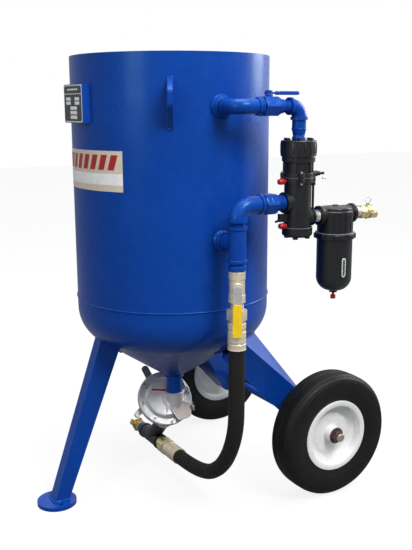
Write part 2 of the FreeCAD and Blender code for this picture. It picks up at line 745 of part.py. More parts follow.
def rear_leg(label, side):
    """Splayed box leg, from the bottom head down to a rounded end about the axle."""
    axle = Vector(0, size("axle_y").value, size("axle_height").value)
    inner = size("rear_leg_inner").value
    outer = inner + size("rear_leg_width").value
    half = size("rear_leg_half").value
    plate = size("leg_plate").value
    top = rear_leg_top()
    middle = sum(top, Vector()) / 4
    down = Vector(0, axle.y - middle.y, axle.z - middle.z).normalize()
    up = Vector(0, -down.z, down.y)
    up = up if up.z > 0 else up * -1
    low = [Vector(outer, 0, 0) + axle + up * half, Vector(inner, 0, 0) + axle + up * half,
           Vector(inner, 0, 0) + axle - up * half, Vector(outer, 0, 0) + axle - up * half]
    solids = []
    for inset in (0, plate):
        ends = []
        for corners in (top, low):
            centre = sum(corners, Vector()) / 4
            grown = [p + along_edge(corners, i) * inset for i, p in enumerate(corners)]
            if corners is top:
                rise = (centre - sum(low, Vector()) / 4).normalize() * 45
                grown = [p + rise for p in grown]
            elif inset:
                grown = [p - down * half for p in grown]
            ends.append(Part.makePolygon(grown + [grown[0]]))
        solids.append(outward(Part.makeLoft(ends, True, True)))
    boss = Part.makeCylinder(half, outer - inner, axle + Vector(inner, 0, 0), Vector(1, 0, 0))
    bore = Part.makeCylinder(size("axle_radius").value + size("fit_gap").value, 2 * outer,
                             axle, Vector(1, 0, 0))
    hollow = solids[1].cut(boss)
    shape = solids[0].cut(vessel_volume()).fuse(boss).cut(hollow).cut(bore)
    shape = max(shape.Solids, key=lambda solid: solid.Volume)
    if side < 0:
        shape = shape.mirror(Vector(), Vector(1, 0, 0))
    coded(label, shape)


def along_edge(corners, index):
    """Inward direction at a corner of a four-sided section, one unit from each side."""
    corner = corners[index]
    before = (corners[index - 1] - corner).normalize()
    after = (corners[(index + 1) % 4] - corner).normalize()
    return before + after


def vessel_volume():
    """The space that the bottom head takes up, for cutting the legs to it."""
    outer = size("tank_radius").value
    slope = math.tan(math.radians(size("cone_slope").value))
    apex = size("cone_apex_height").value
    knuckle = size("knuckle_radius").value
    corner = Vector(outer, 0, apex + outer * slope)
    inner = Vector(0, 0, apex)
    top = Vector(outer, 0, size("seam_height").value)
    first, second, centre = corner_cut(inner, corner, top, knuckle)
    middle = centre + (corner - centre).normalize() * knuckle
    edges = [Part.LineSegment(inner, first).toShape(), Part.Arc(first, middle, second).toShape(),
             Part.LineSegment(second, top).toShape(),
             Part.LineSegment(top, Vector(0, 0, top.z)).toShape(),
             Part.LineSegment(Vector(0, 0, top.z), inner).toShape()]
    face = Part.Face(Part.Wire(edges))
    return outward(face.revolve(Vector(), Vector(0, 0, 1), 360))


def outward(solid):
    """The solid with its faces turned outwards."""
    if solid.Volume < 0:
        solid.reverse()
    return solid


def axle():
    """Round axle with a collar that spaces each hub off its leg."""
    radius = size("axle_radius")
    end = size("wheel_x") + size("hub_length") / 2 + size("axle_end")
    collar_in = size("rear_leg_inner") + size("rear_leg_width")
    collar_out = size("wheel_x") - size("hub_length") / 2 - size("wheel_gap")
    collar = radius + 7
    body = turned_body("axle", [
        (0, -end), (radius, -end, 2), (radius, -collar_out), (collar, -collar_out),
        (collar, -collar_in), (radius, -collar_in), (radius, collar_in), (collar, collar_in),
        (collar, collar_out), (radius, collar_out), (radius, end, 2), (0, end),
    ])
    place(body, 0, size("axle_y"), size("axle_height"), ALONG_X)
    keep(body, "axle")


def on_each_side(maker, name):
    """The same piece made for the right wheel and the left one."""
    return [(maker(name + suffix), turn, side) for suffix, turn, side in
            (("_right", ALONG_X, 1), ("_left", ALONG_MINUS_X, -1))]


def wheel_rim(name):
    """Pressed steel wheel: hub tube, disc and a drop-centre barrel with two flanges."""
    half = size("rim_half")
    flange = size("rim_radius")
    plate = size("rim_plate")
    barrel = size("tyre_bore") - 1
    hub = size("hub_radius")
    bore = size("bush_radius") + size("run_fit")
    end = size("hub_length") / 2
    outline = []
    for sign in (-1, 1):
        half_outline = [
            (bore, sign * end), (hub, sign * end), (hub, sign * plate / 2, 5),
            (barrel - plate, sign * plate / 2, 12), (barrel - plate, sign * (half + plate)),
            (flange, sign * (half + plate), 1.5), (flange, sign * half), (barrel, sign * half, 3),
        ]
        outline += half_outline if sign < 0 else half_outline[::-1]
    return turned_body(name, outline)


def tyre(name):
    """Pneumatic tyre with a crowned tread between two grooves."""
    half = size("rim_half") - 0.3
    bore = size("tyre_bore") - 0.7
    wall = size("tyre_half")
    top = size("tyre_radius")
    flange = size("rim_radius")
    outline = []
    for sign in (-1, 1):
        half_outline = [
            (bore, sign * half, 3.5), (flange + 2, sign * half), (flange + 16, sign * wall, 14),
            (top - 26, sign * wall, 18), (top - 6, sign * (wall - 11), 6),
            (top - 1, sign * 24, 2), (top - 5, sign * 21), (top, sign * 17, 2),
        ]
        outline += half_outline if sign < 0 else half_outline[::-1]
    return turned_body(name, outline)


def bush(name):
    radius = size("bush_radius")
    return turned_body(name, tube_outline(radius, size("axle_radius"), -size("hub_length") / 2,
                                          size("hub_length") / 2))


def wheels():
    spot = size("wheel_x")
    for maker, label in ((wheel_rim, "wheel_rim"), (tyre, "tyre")):
        for piece, turn, side in on_each_side(maker, label):
            place(piece, side * spot, size("axle_y"), size("axle_height"), turn)
            keep(piece, piece.Name)
    bushes = []
    for piece, turn, side in on_each_side(bush, "hub_bush"):
        place(piece, side * spot, size("axle_y"), size("axle_height"), turn)
        bushes.append(piece)
    group("hub_bushes", bushes)
    fasteners = []
    start = size("wheel_x") + size("hub_length") / 2 + size("wheel_gap")
    for turn, side in ((ALONG_X, 1), (ALONG_MINUS_X, -1)):
        name = "right" if side > 0 else "left"
        washer = turned_body("washer_" + name, tube_outline(
            size("washer_radius"), size("axle_radius") + size("fit_gap"), 0, size("washer_thick")))
        place(washer, side * start, size("axle_y"), size("axle_height"), turn)
        nut_start = start + size("washer_thick")
        hexagon = prism("nut_hex_" + name, size("nut_across"), size("nut_height"),
                        side * nut_start, size("axle_y"), size("axle_height"), turn)
        hole = cylinder("nut_hole_" + name, size("axle_radius") + size("fit_gap"), size("nut_height"),
                        side * nut_start, size("axle_y"), size("axle_height"), turn)
        fasteners += [washer, cut("nut_" + name, hexagon, hole)]
    group("axle_fasteners", fasteners)


# ---------------------------------------------------------------- pipe fittings

def pipe_turn(name, x, y, z, turn, radius, bore, start, end, bead=None, bead_ends=(True, True)):
    """A straight fitting about its own Z, with a raised bead at either end."""
    width = size("bead_width")
    outline = [(bore, start)]
    if bead and bead_ends[0]:
        outline += [(bead, start), (bead, start + width, 2), (radius, start + width)]
    else:
        outline += [(radius, start)]
    if bead and bead_ends[1]:
        outline += [(radius, end - width), (bead, end - width, 2), (bead, end)]
    else:
        outline += [(radius, end)]
    outline += [(bore, end)]
    return place(turned_body(name, outline), x, y, z, turn)


def elbow(name, corner, way_a, way_b, leg_a, leg_b, bend, radii):
    """Pipe elbow: a quarter ring and two beaded legs that leave its corner along two ways."""
    radius, bore, bead = radii
    turn = Rotation(way_b * -1, way_a * -1, way_b.cross(way_a), "XYZ")
    outside = []
    inside = []
    for label, ring, reach, members in (("skin", radius, 0, outside), ("bore", bore, 1, inside)):
        torus = doc.addObject("Part::Torus", name + "_" + label + "_bend")
        torus.setExpression("Radius1", bend.text)
        torus.setExpression("Radius2", ring.text)
        torus.Angle3 = 90
        leg_1 = cylinder(name + "_" + label + "_leg_a", ring, leg_a - bend + reach,
                         bend, 0, 0, ALONG_MINUS_Y)
        leg_2 = cylinder(name + "_" + label + "_leg_b", ring, leg_b - bend + reach,
                         0, bend, 0, ALONG_MINUS_X)
        members += [torus, leg_1, leg_2]
    width = size("bead_width")
    outside.append(cylinder(name + "_bead_a", bead, width, bend, bend - leg_a + width, 0,
                            ALONG_MINUS_Y))
    outside.append(cylinder(name + "_bead_b", bead, width, bend - leg_b + width, bend, 0,
                            ALONG_MINUS_X))
    result = cut(name, fuse(name + "_outside", outside), fuse(name + "_inside", inside))
    base = [corner[i] + bend * (way_a[i] + way_b[i]) for i in range(3)]
    return place(result, base[0], base[1], base[2], turn)


def pipe_elbows():
    charge = (size("charge_fitting"), size("charge_bore"), size("charge_bead"))
    push = (size("push_fitting"), size("push_bore"), size("push_bead"))
    height = size("charge_height")
    leg_in = pipe_x - size("tank_radius") - size("boss_length")
    leg_out = size("charge_valve_y") - size("charge_valve_half")
    minus_x, plus_y, minus_y, minus_z = Vector(-1, 0, 0), Vector(0, 1, 0), Vector(0, -1, 0), Vector(0, 0, -1)
    members = [
        elbow("charge_elbow", (pipe_x, 0, height), plus_y, minus_x, leg_out, leg_in,
              size("charge_bend"), charge),
        elbow("drop_elbow", (pipe_x, size("valve_y"), height), minus_y, minus_z,
              size("drop_leg_in"), size("drop_leg_out"), size("charge_bend"), charge),
        elbow("push_elbow", (pipe_x, 0, size("branch_height")), plus_y, minus_z,
              size("push_leg"), size("push_leg_down"), size("push_bend"), push),
    ]
    group("pipe_elbows", members)


def blue_nipples():
    """Short painted nipples and the bush under the tee."""
    first = size("charge_valve_y") + size("charge_valve_half")
    last = size("valve_y") - size("drop_leg_in")
    ring = size("charge_fitting") - 1
    charge = turned_body("charge_nipple", [
        (size("charge_bore"), first), (size("charge_pipe"), first), (size("charge_pipe"), first + 2),
        (ring, first + 3, 1), (ring, first + 13, 1), (size("charge_pipe"), first + 15),
        (size("charge_pipe"), last), (size("charge_bore"), last),
    ])
    place(charge, pipe_x, 0, size("charge_height"), ALONG_Y)
    tee_top = size("tee_height") + size("tee_half")
    low_end = size("branch_height") - size("push_leg_down")
    tee_nipple = turned_body("tee_nipple", tube_outline(size("push_pipe"), size("push_bore"), tee_top, low_end))
    place(tee_nipple, pipe_x, 0, 0)
    low = size("ball_valve_top")
    tee_bottom = size("tee_height") - size("tee_half")
    bush = turned_body("valve_bush", [
        (size("hose_bore"), low), (size("push_fitting"), low, 1.5), (size("push_fitting"), tee_bottom - 9, 1.5),
        (size("push_pipe"), tee_bottom - 7), (size("push_pipe"), tee_bottom), (size("hose_bore"), tee_bottom),
    ])
    place(bush, pipe_x, 0, 0)
    outlet_start = -wye_x + size("wye_half")
    outlet = turned_body("outlet_nipple", tube_outline(
        size("push_pipe"), size("push_bore"), outlet_start, outlet_start + size("outlet_nipple")))
    place(outlet, 0, 0, size("line_height"), ALONG_MINUS_X)
    group("blue_nipples", [charge, tee_nipple, bush, outlet])


def upper_valve():
    """Blue ball valve of the charging line, with a lever on top."""
    half = size("charge_valve_half")
    hexagon_half = half - 8
    ends = turned_body("charge_valve_ends", [
        (0, -half), (size("charge_bead"), -half), (size("charge_bead"), -half + 6, 2),
        (size("charge_fitting"), -half + 8), (size("charge_fitting"), half - 8),
        (size("charge_bead"), half - 6, 2), (size("charge_bead"), half), (0, half),
    ])
    place(ends, 0, 0, 0, ALONG_Y)
    hexagon = prism("charge_valve_hex", size("charge_valve_across"), hexagon_half * 2,
                    0, -hexagon_half, 0, ALONG_Y)
    across = size("charge_valve_across") / 2
    gland = cylinder("charge_valve_gland", size("stem_radius") + 5, across + size("stem_rise") - 1)
    bore = cylinder("charge_valve_bore", size("charge_bore"), half * 2, 0, -half, 0, ALONG_Y)
    cavity = ball("charge_valve_cavity", size("charge_ball") + size("run_fit"))
    stem_hole = cylinder("charge_valve_stem_hole", size("stem_radius") + size("run_fit"), across * 2)
    whole = cut("upper_valve_body", fuse("charge_valve_outside", [ends, hexagon, gland]),
                fuse("charge_valve_inside", [bore, cavity, stem_hole]))
    place(whole, pipe_x, size("charge_valve_y"), size("charge_height"))
    keep(whole, "upper_valve_body")
    lever_low = across + size("stem_rise")
    stem_top = lever_low + size("lever_thick")
    stem = cylinder("charge_stem", size("stem_radius"), stem_top)
    ball_bore = cylinder("charge_ball_bore", size("charge_bore"), 60, 0, -30, 0, ALONG_Y)
    turning = fuse("upper_valve_ball", [
        cut("charge_ball_bored", ball("charge_ball_round", size("charge_ball")), ball_bore),
        cut("charge_stem_cut", stem, ball("charge_stem_relief", size("charge_ball") - 1.5))])
    place(turning, pipe_x, size("charge_valve_y"), size("charge_height"))
    keep(turning, "upper_valve_ball")
    lever = new_body("charge_lever_plate")
    plate = new_sketch(lever, "XY_Plane", lever_low)
    half_width = size("lever_width") / 2
    draw_outline(plate, [(-half_width, -half_width - 2, 6), (half_width, -half_width - 2, 6),
                         (half_width, 14, 8), (half_width - 2, 24), (half_width, size("lever_length"), 9),
                         (-half_width, size("lever_length"), 9), (2 - half_width, 24), (-half_width, 14, 8)])
    draw_circle(plate, 0, 0, size("stem_radius") + size("fit_gap"))
    pad(lever, plate, size("lever_thick"))
    place(lever, pipe_x, size("charge_valve_y"), size("charge_height"))
    nut = prism("charge_lever_nut", size("stem_radius") * 3, 5, 0, 0, stem_top)
    place(nut, pipe_x, size("charge_valve_y"), size("charge_height") + stem_top)
    group("upper_valve_lever", [lever, nut])


def ball(name, radius):
    item = doc.addObject("Part::Sphere", name)
    item.Radius = number(radius)
    item.setExpression("Radius", radius.text)
    return item


def pipe_unions():
    """Unions above the air valve and between the pusher elbow and the air valve."""
    top = size("charge_height") - size("drop_leg_out")
    low = size("valve_top")
    step = (top - low) / 8
    upper = turned_body("charge_union", [
        (size("charge_bore"), low), (18, low), (18, low + step), (17, low + step * 2),
        (20, low + step * 4, 2), (20, top), (size("charge_bore"), top),
    ])
    place(upper, pipe_x, size("valve_y"), 0)
    near = size("push_leg")
    far = near + size("union_length")
    hexagon = prism("push_union_hex", size("union_across"), size("union_length") - 24, 0, 0, near + 12)
    ring = turned_body("push_union_ring", [
        (0, near), (size("push_fitting"), near), (size("push_fitting"), far), (0, far)])
    sleeve = cylinder("push_union_pipe", size("push_pipe"), size("valve_y") - size("port_reach") - near,
                      0, 0, near)
    bore = cylinder("push_union_bore", size("push_bore"), size("valve_y"), 0, 0, near - 10)
    lower = cut("push_union", fuse("push_union_outside", [hexagon, ring, sleeve]), bore)
    place(lower, pipe_x, 0, size("branch_height"), ALONG_Y)
    group("pipe_unions", [upper, lower])


# ---------------------------------------------------------------- automatic air valve

def air_valve():
    top = size("valve_top")
    cap = turned_body("air_cap_turned", [
        (10, cap_bottom), (size("cap_radius"), cap_bottom), (size("cap_radius"), top, 4), (19, top, 2),
        (18.2, top - 3), (10, top - 3),
    ])
    hole = size("valve_bolt") + size("fit_gap")
    deep = size("cap_screw_length") + 3
    screws = ring_of("cap_screw_hole", lambda name: cylinder(name, hole, deep), size("cap_screw_circle"),
                     top - deep, 6)
    whole = cut("air_valve_cap", cap, fuse("cap_screw_holes", screws))
    stand_at(whole)
    keep(whole, "air_valve_cap")
    bonnet = turned_body("air_valve_bonnet", [
        (10, neck_bottom - size("flange_height")), (size("flange_radius"), neck_bottom - size("flange_height")),
        (size("flange_radius"), neck_bottom, 2), (size("neck_radius"), neck_bottom),
        (size("neck_radius"), collar_bottom), (size("collar_radius"), collar_bottom, 2),
        (size("collar_radius"), cap_bottom), (10, cap_bottom),
    ])
    stand_at(bonnet)
    keep(bonnet, "air_valve_bonnet")
    air_valve_body()
    base = turned_body("air_base_turned", [
        (0, size("body_bottom") - size("base_height")),
        (size("base_radius") - 6, size("body_bottom") - size("base_height")),
        (size("base_radius"), size("body_bottom") - size("base_height") + 6),
        (size("base_radius"), size("body_bottom"), 2), (0, size("body_bottom")),
    ])
    floor = size("body_bottom") - size("base_height")
    holes = ring_of("base_screw_hole", lambda name: cylinder(name, hole, size("base_screw_length") + 4),
                    size("base_screw_circle"), floor - 1, 4)
    whole = cut("air_valve_base", base, fuse("base_screw_holes", holes))
    stand_at(whole)
    keep(whole, "air_valve_base")
    screws = ring_of("cap_screw", lambda name: screw(name, size("cap_screw_length").value, False),
                     size("cap_screw_circle"), top, 6)
    screws += ring_of("base_screw", lambda name: screw(name, size("base_screw_length").value, True),
                      size("base_screw_circle"), floor, 4)
    stand_at(group("air_valve_bolts", screws))
    low = flange_low - 30
    foot = low - size("piston_rod")
    bore = size("valve_bore") - size("run_fit")
    piston = turned_body("air_valve_piston", [
        (0, foot - 7), (bore * 0.6, foot - 7, 2), (bore * 0.6, foot), (bore * 0.25, foot + 2),
        (bore * 0.25, low, 3), (bore, low), (bore, low + size("piston_height")), (0, low + size("piston_height")),
    ])
    stand_at(piston)
    keep(piston, "air_valve_piston")


def stand_at(thing):
    """Move a piece drawn about Z onto the air valve's own axis."""
    return place(thing, pipe_x, size("valve_y"), 0)


def ring_of(name, maker, radius, height, count):
    pieces = []
    for i in range(count):
        angle = math.radians(360 * (i + 0.5) / count)
        piece = maker(name + "_" + str(i + 1))
        place(piece, radius * math.cos(angle), radius * math.sin(angle), height, piece.Placement.Rotation)
        pieces.append(piece)
    return pieces


def bolt_head(height):
    """Hexagonal bolt head about Z, standing on the given height."""
    reach = size("bolt_head_radius").value
    points = [Vector(reach * math.cos(math.radians(60 * i)), reach * math.sin(math.radians(60 * i)), height)
              for i in range(7)]
    return Part.Face(Part.makePolygon(points)).extrude(Vector(0, 0, size("bolt_head_height").value))


def screw(name, length, head_down):
    """Hexagon-head screw about Z, its head outside the face it clamps."""
    item = doc.addObject("Part::Feature", name)
    shank = Part.makeCylinder(size("valve_bolt").value, length, Vector(0, 0, -length))
    item.Shape = bolt_head(0).fuse(shank).removeSplitter()
    item.Placement = Placement(Vector(), TOP_DOWN if head_down else UPRIGHT)
    return item


def air_valve_body():
    """Ported body: a branch to the pusher line towards -Y and the supply from +Y."""
    bottom = size("body_bottom")
    outside = turned_body("air_body_turned", [
        (0, bottom), (size("body_radius"), bottom), (size("body_radius"), flange_low),
        (size("flange_radius"), flange_low), (size("flange_radius"), flange_low + size("flange_height"), 2),
        (0, flange_low + size("flange_height")),
    ])
    push_port = cylinder("air_body_push_port", size("push_bead"), size("port_reach"),
                         0, 0, size("branch_height"), ALONG_MINUS_Y)
    supply_reach = size("filter_stand") - size("filter_reach") - size("filter_nipple") + 1
    supply_port = cylinder("air_body_supply_port", size("charge_bead"), supply_reach,
                           0, 0, size("filter_height"), ALONG_Y)
    wing = box("air_body_wing", 12, 20, 23, -6, -size("body_radius") - 16, bottom + 17)
    bore = cylinder("air_body_bore", size("valve_bore"), flange_low + size("flange_height") - bottom, 0, 0, bottom + 4)
    push_bore = cylinder("air_body_push_bore", size("push_bore"), size("port_reach") + 5,
                         0, 0, size("branch_height"), ALONG_MINUS_Y)
    supply_bore = cylinder("air_body_supply_bore", size("charge_bore"), supply_reach + 5,
                           0, 0, size("filter_height"), ALONG_Y)
    whole = cut("air_valve_body", fuse("air_body_outside", [outside, push_port, supply_port, wing]),
                fuse("air_body_inside", [bore, push_bore, supply_bore]))
    stand_at(whole)
    keep(whole, "air_valve_body")


def air_valve_fittings():
    """Control-air fitting on the far side and two red plugs on the near side."""
    height = neck_bottom - 6
    start = size("flange_radius") + 0.1
    fitting = turned_body("signal_fitting", [
        (2, start), (6, start), (6, start + 11), (8.5, start + 11), (8.5, start + 23), (6.5, start + 25),
        (6.5, start + 33, 2), (4, start + 33), (4, start + 48), (2, start + 48),
    ])
    place(fitting, pipe_x, size("valve_y"), height, ALONG_Y)
    keep(fitting, "signal_fitting")
    plugs = []
    for index, (level, reach) in enumerate(((flange_low + 4, size("flange_radius") + 0.1),
                                            (size("body_bottom") + 5, size("body_radius") + 0.1))):
        plug = turned_body("plug_" + str(index + 1), [
            (0, reach), (5, reach), (5, reach + 8), (7.5, reach + 8, 1), (7.5, reach + 32, 2), (0, reach + 32),
        ])
        place(plug, pipe_x, size("valve_y"), level, ALONG_MINUS_Y)
        plugs.append(plug)
    group("red_plugs", plugs)


# ---------------------------------------------------------------- tee, lower ball valve, hose

def lower_tee():
    half = size("tee_half")
    run = pipe_turn("tee_run", 0, 0, 0, UPRIGHT, size("push_fitting"), size("push_bore"),
                    -half, half, size("push_bead"))
    reach = pipe_x - size("tank_radius") - size("boss_length") + 4
    solid_run = cylinder("tee_core", size("push_fitting"), half, 0, 0, -half / 2)
    branch = pipe_turn("tee_branch", 0, 0, 0, ALONG_MINUS_X, size("push_fitting"), size("push_bore"),
                       10, reach, size("push_bead"), (False, True))
    run_bore = cylinder("tee_run_bore", size("push_bore"), half * 2, 0, 0, -half)
    branch_bore = cylinder("tee_branch_bore", size("push_bore"), reach, 0, 0, 0, ALONG_MINUS_X)
    whole = cut("lower_tee", fuse("tee_outside", [run, solid_run, branch]),
                fuse("tee_inside", [run_bore, branch_bore]))
    place(whole, pipe_x, 0, size("tee_height"))
    keep(whole, "lower_tee")


def lower_valve():
    """Ball valve in the pusher air line, its lever hanging down at rest."""
    top = size("ball_valve_top")
    middle = (top + ball_valve_bottom) / 2
    half = (top - ball_valve_bottom) / 2
    radius = size("ball_valve_radius")
    grip = size("valve_grip")
    outside = turned_body("push_valve_turned", [
        (0, -half), (radius, -half, 2), (radius, grip - half), (radius - 1.5, grip + 2 - half),
        (radius - 1.5, half - grip - 2), (radius, half - grip), (radius, half, 2), (0, half),
    ])
    turn = Rotation(Vector(0, 0, 1), size("ball_valve_turn").value)
    gland_reach = radius + 10
    gland = cylinder("push_valve_gland", size("stem_radius") + 5, gland_reach)
    place(gland, 0, 0, 0, turn * ALONG_X)
    bore = cylinder("push_valve_bore", size("hose_bore"), half * 2 + 2, 0, 0, -half - 1)
    cavity = ball("push_valve_cavity", size("ball_radius") + size("run_fit"))
    stem_hole = cylinder("push_valve_stem_hole", size("stem_radius") + size("run_fit"), gland_reach + 5)
    place(stem_hole, 0, 0, 0, turn * ALONG_X)
    whole = cut("lower_valve_body", fuse("push_valve_outside", [outside, gland]),
                fuse("push_valve_inside", [bore, cavity, stem_hole]))
    place(whole, pipe_x, 0, middle)
    keep(whole, "lower_valve_body")
    stem_end = gland_reach + 1 + size("push_lever_thick")
    stem = cylinder("push_stem", size("stem_radius"), stem_end, 0, 0, 0, turn * ALONG_X)
    ball_bore = cylinder("push_ball_bore", size("hose_bore"), 60, 0, 0, -30)
    turning = fuse("lower_valve_ball", [
        cut("push_ball_bored", ball("push_ball_round", size("ball_radius")), ball_bore),
        cut("push_stem_cut", stem, ball("push_stem_relief", size("ball_radius") - 1))])
    place(turning, pipe_x, 0, middle)
    keep(turning, "lower_valve_ball")
    lever = new_body("push_lever_plate")
    plate = new_sketch(lever, "YZ_Plane", gland_reach + 1)
    wide = size("push_lever_width") / 2
    steel = size("push_lever_steel")
    end = steel + size("push_lever_sleeve")
    draw_outline(plate, [(-wide, 14, 6), (wide, 14, 6), (wide, -steel), (wide - 3, 2 - steel),
                         (wide - 3, 2 - end, 6), (3 - wide, 2 - end, 6), (3 - wide, 2 - steel), (-wide, -steel)])
    draw_circle(plate, 0, 0, size("stem_radius") + size("fit_gap"))
    pad(lever, plate, size("push_lever_thick"))
    place(lever, pipe_x, 0, middle, turn)
    nut = prism("push_lever_nut", size("stem_radius") * 3, 5)
    reach = stem_end * turn.multVec(Vector(1, 0, 0)).x
    side = stem_end * turn.multVec(Vector(1, 0, 0)).y
    place(nut, pipe_x + reach, side, middle, turn * ALONG_X)
    group("lower_valve_lever", [lever, nut])
    sleeve = new_body("lever_sleeve")
    skin = size("sleeve_thick")
    depth = gland_reach + 1 - skin
    outline = new_sketch(sleeve, "YZ_Plane", depth)
    draw_outline(outline, [(-wide, -steel - 0.2, 5), (wide, -steel - 0.2, 5), (wide + 1, -end - 1, 9),
                           (-wide - 1, -end - 1, 9)])
    pad(sleeve, outline, skin * 2 + size("push_lever_thick"))
    room = new_sketch(sleeve, "YZ_Plane", gland_reach + 1)
    draw_outline(room, [(3 - wide, 5 - steel), (3 - wide, 2 - end, 6), (wide - 3, 2 - end, 6), (wide - 3, 5 - steel)])
    pocket(sleeve, room, size("push_lever_thick"), reversed_way=True)
    place(sleeve, pipe_x, 0, middle, turn)
    keep(sleeve, "lever_sleeve")


def ferrule_set(name):
    """Hose end: pressed sleeve, groove, hexagon and threaded stub, along its own +Z."""
    stub_start = size("ferrule_length") + size("groove_width") + size("hex_length")
    grip = size("ferrule_radius")
    ring = size("hose_radius") - 4
    outside = turned_body(name + "_turned", [
        (0, 0), (grip, 0, 3), (grip, 16), (grip - 1.2, 18), (grip - 1.2, 24), (grip, 26),
        (grip, size("ferrule_length") - 26), (grip - 1.2, size("ferrule_length") - 24),
        (grip - 1.2, size("ferrule_length") - 18), (grip, size("ferrule_length") - 16),
        (grip, size("ferrule_length"), 2), (ring, size("ferrule_length")),
        (ring, size("ferrule_length") + size("groove_width")),
        (ring + 1, size("ferrule_length") + size("groove_width")), (ring + 1, stub_start),
        (ring - 0.5, stub_start), (ring - 0.5, fitting_length), (0, fitting_length),
    ])
    hexagon = prism(name + "_hex", size("ferrule_hex"), size("hex_length"), 0, 0,
                    size("ferrule_length") + size("groove_width"))
    bore = cylinder(name + "_bore", size("hose_bore"), fitting_length + 4, 0, 0, -2)
    return cut(name, fuse(name + "_outside", [outside, hexagon]), bore)


def hose_ferrules():
    upper = place(ferrule_set("ferrule_upper"), pipe_x, 0, size("hose_top"))
    lower = place(ferrule_set("ferrule_lower"), size("hose_end"), 0, size("line_height"), ALONG_MINUS_X)
    group("hose_ferrules", [upper, lower])


# Points of the hose's route as shares of its reach across and of its rise.
HOSE_SHARES = [(0, 0), (150 / 360, 0), (282 / 360, 73 / 474), (357 / 360, 204 / 474), (1, 339 / 474), (1, 1)]


def air_hose():
    start = Vector(size("hose_end").value, 0, size("line_height").value)
    span = Vector(pipe_x.value, 0, size("hose_top").value) - start
    points = [start + Vector(across * span.x, 0, rise * span.z) for across, rise in HOSE_SHARES]
    shape = tube_along(points, 0, size("hose_radius").value, size("hose_bore").value)
    length = rounded_path(points, 0).Length
    section = math.pi * (size("hose_radius").value ** 2 - size("hose_bore").value ** 2)
    print("hose volume", round(shape.Volume), "section times length", round(section * length))
    coded("air_hose", shape)


def pusher_wye():
    """Wye that drops the abrasive into the pusher air, its branch aimed at the metering valve."""
    half = size("wye_half")
    radii = (size("push_fitting"), size("push_bore"))
    run = pipe_turn("wye_run", 0, 0, 0, ALONG_X, radii[0], radii[1], -half, half, size("push_bead") - 1)
    core = cylinder("wye_core", radii[0], half, half / -2, 0, 0, ALONG_X)
    turn = Rotation(Vector(0, 0, 1), wye_way())
    branch = pipe_turn("wye_branch", 0, 0, 0, turn, radii[0], radii[1], 10, size("wye_reach"),
                       size("push_bead") - 1, (False, True))
    run_bore = cylinder("wye_run_bore", radii[1], half * 2, -half, 0, 0, ALONG_X)
    branch_bore = cylinder("wye_branch_bore", radii[1], size("wye_reach") + 1, 0, 0, 0, turn)
    whole = cut("pusher_wye", fuse("wye_outside", [run, core, branch]),
                fuse("wye_inside", [run_bore, branch_bore]))
    place(whole, wye_x, 0, size("line_height"))
    keep(whole, "pusher_wye")


def wye_way():
    """Direction from the wye's middle to the joint under the spout."""
    return Vector(-wye_x.value, 0, size("meter_joint_z").value - size("line_height").value).normalize()


def claw_coupling(name, bore):
    """Quick coupling half with two claws, along its own +Z."""
    radius = size("coupling_radius")
    length = size("coupling_length")
    face = length + size("collar_length")
    outside = turned_body(name + "_turned", [
        (0, 0), (radius, 0, 2), (radius, length * 0.45), (radius - 3, length * 0.55),
        (radius - 3, length), (radius + 1, length + 3, 2), (radius + 1, face, 3), (0, face),
    ])
    thick = size("claw_thick")
    near = size("claw_reach") - thick
    members = [outside]
    for index, start in enumerate((near, -near - thick)):
        members.append(box(name + "_arm_" + str(index + 1), thick, size("claw_width"), size("claw_length"),
                           start, size("claw_width") / -2, length + 2))
    return cut(name, fuse(name + "_outside", members), cylinder(name + "_bore", bore, face + 2, 0, 0, -1))


# ---------------------------------------------------------------- moisture filter

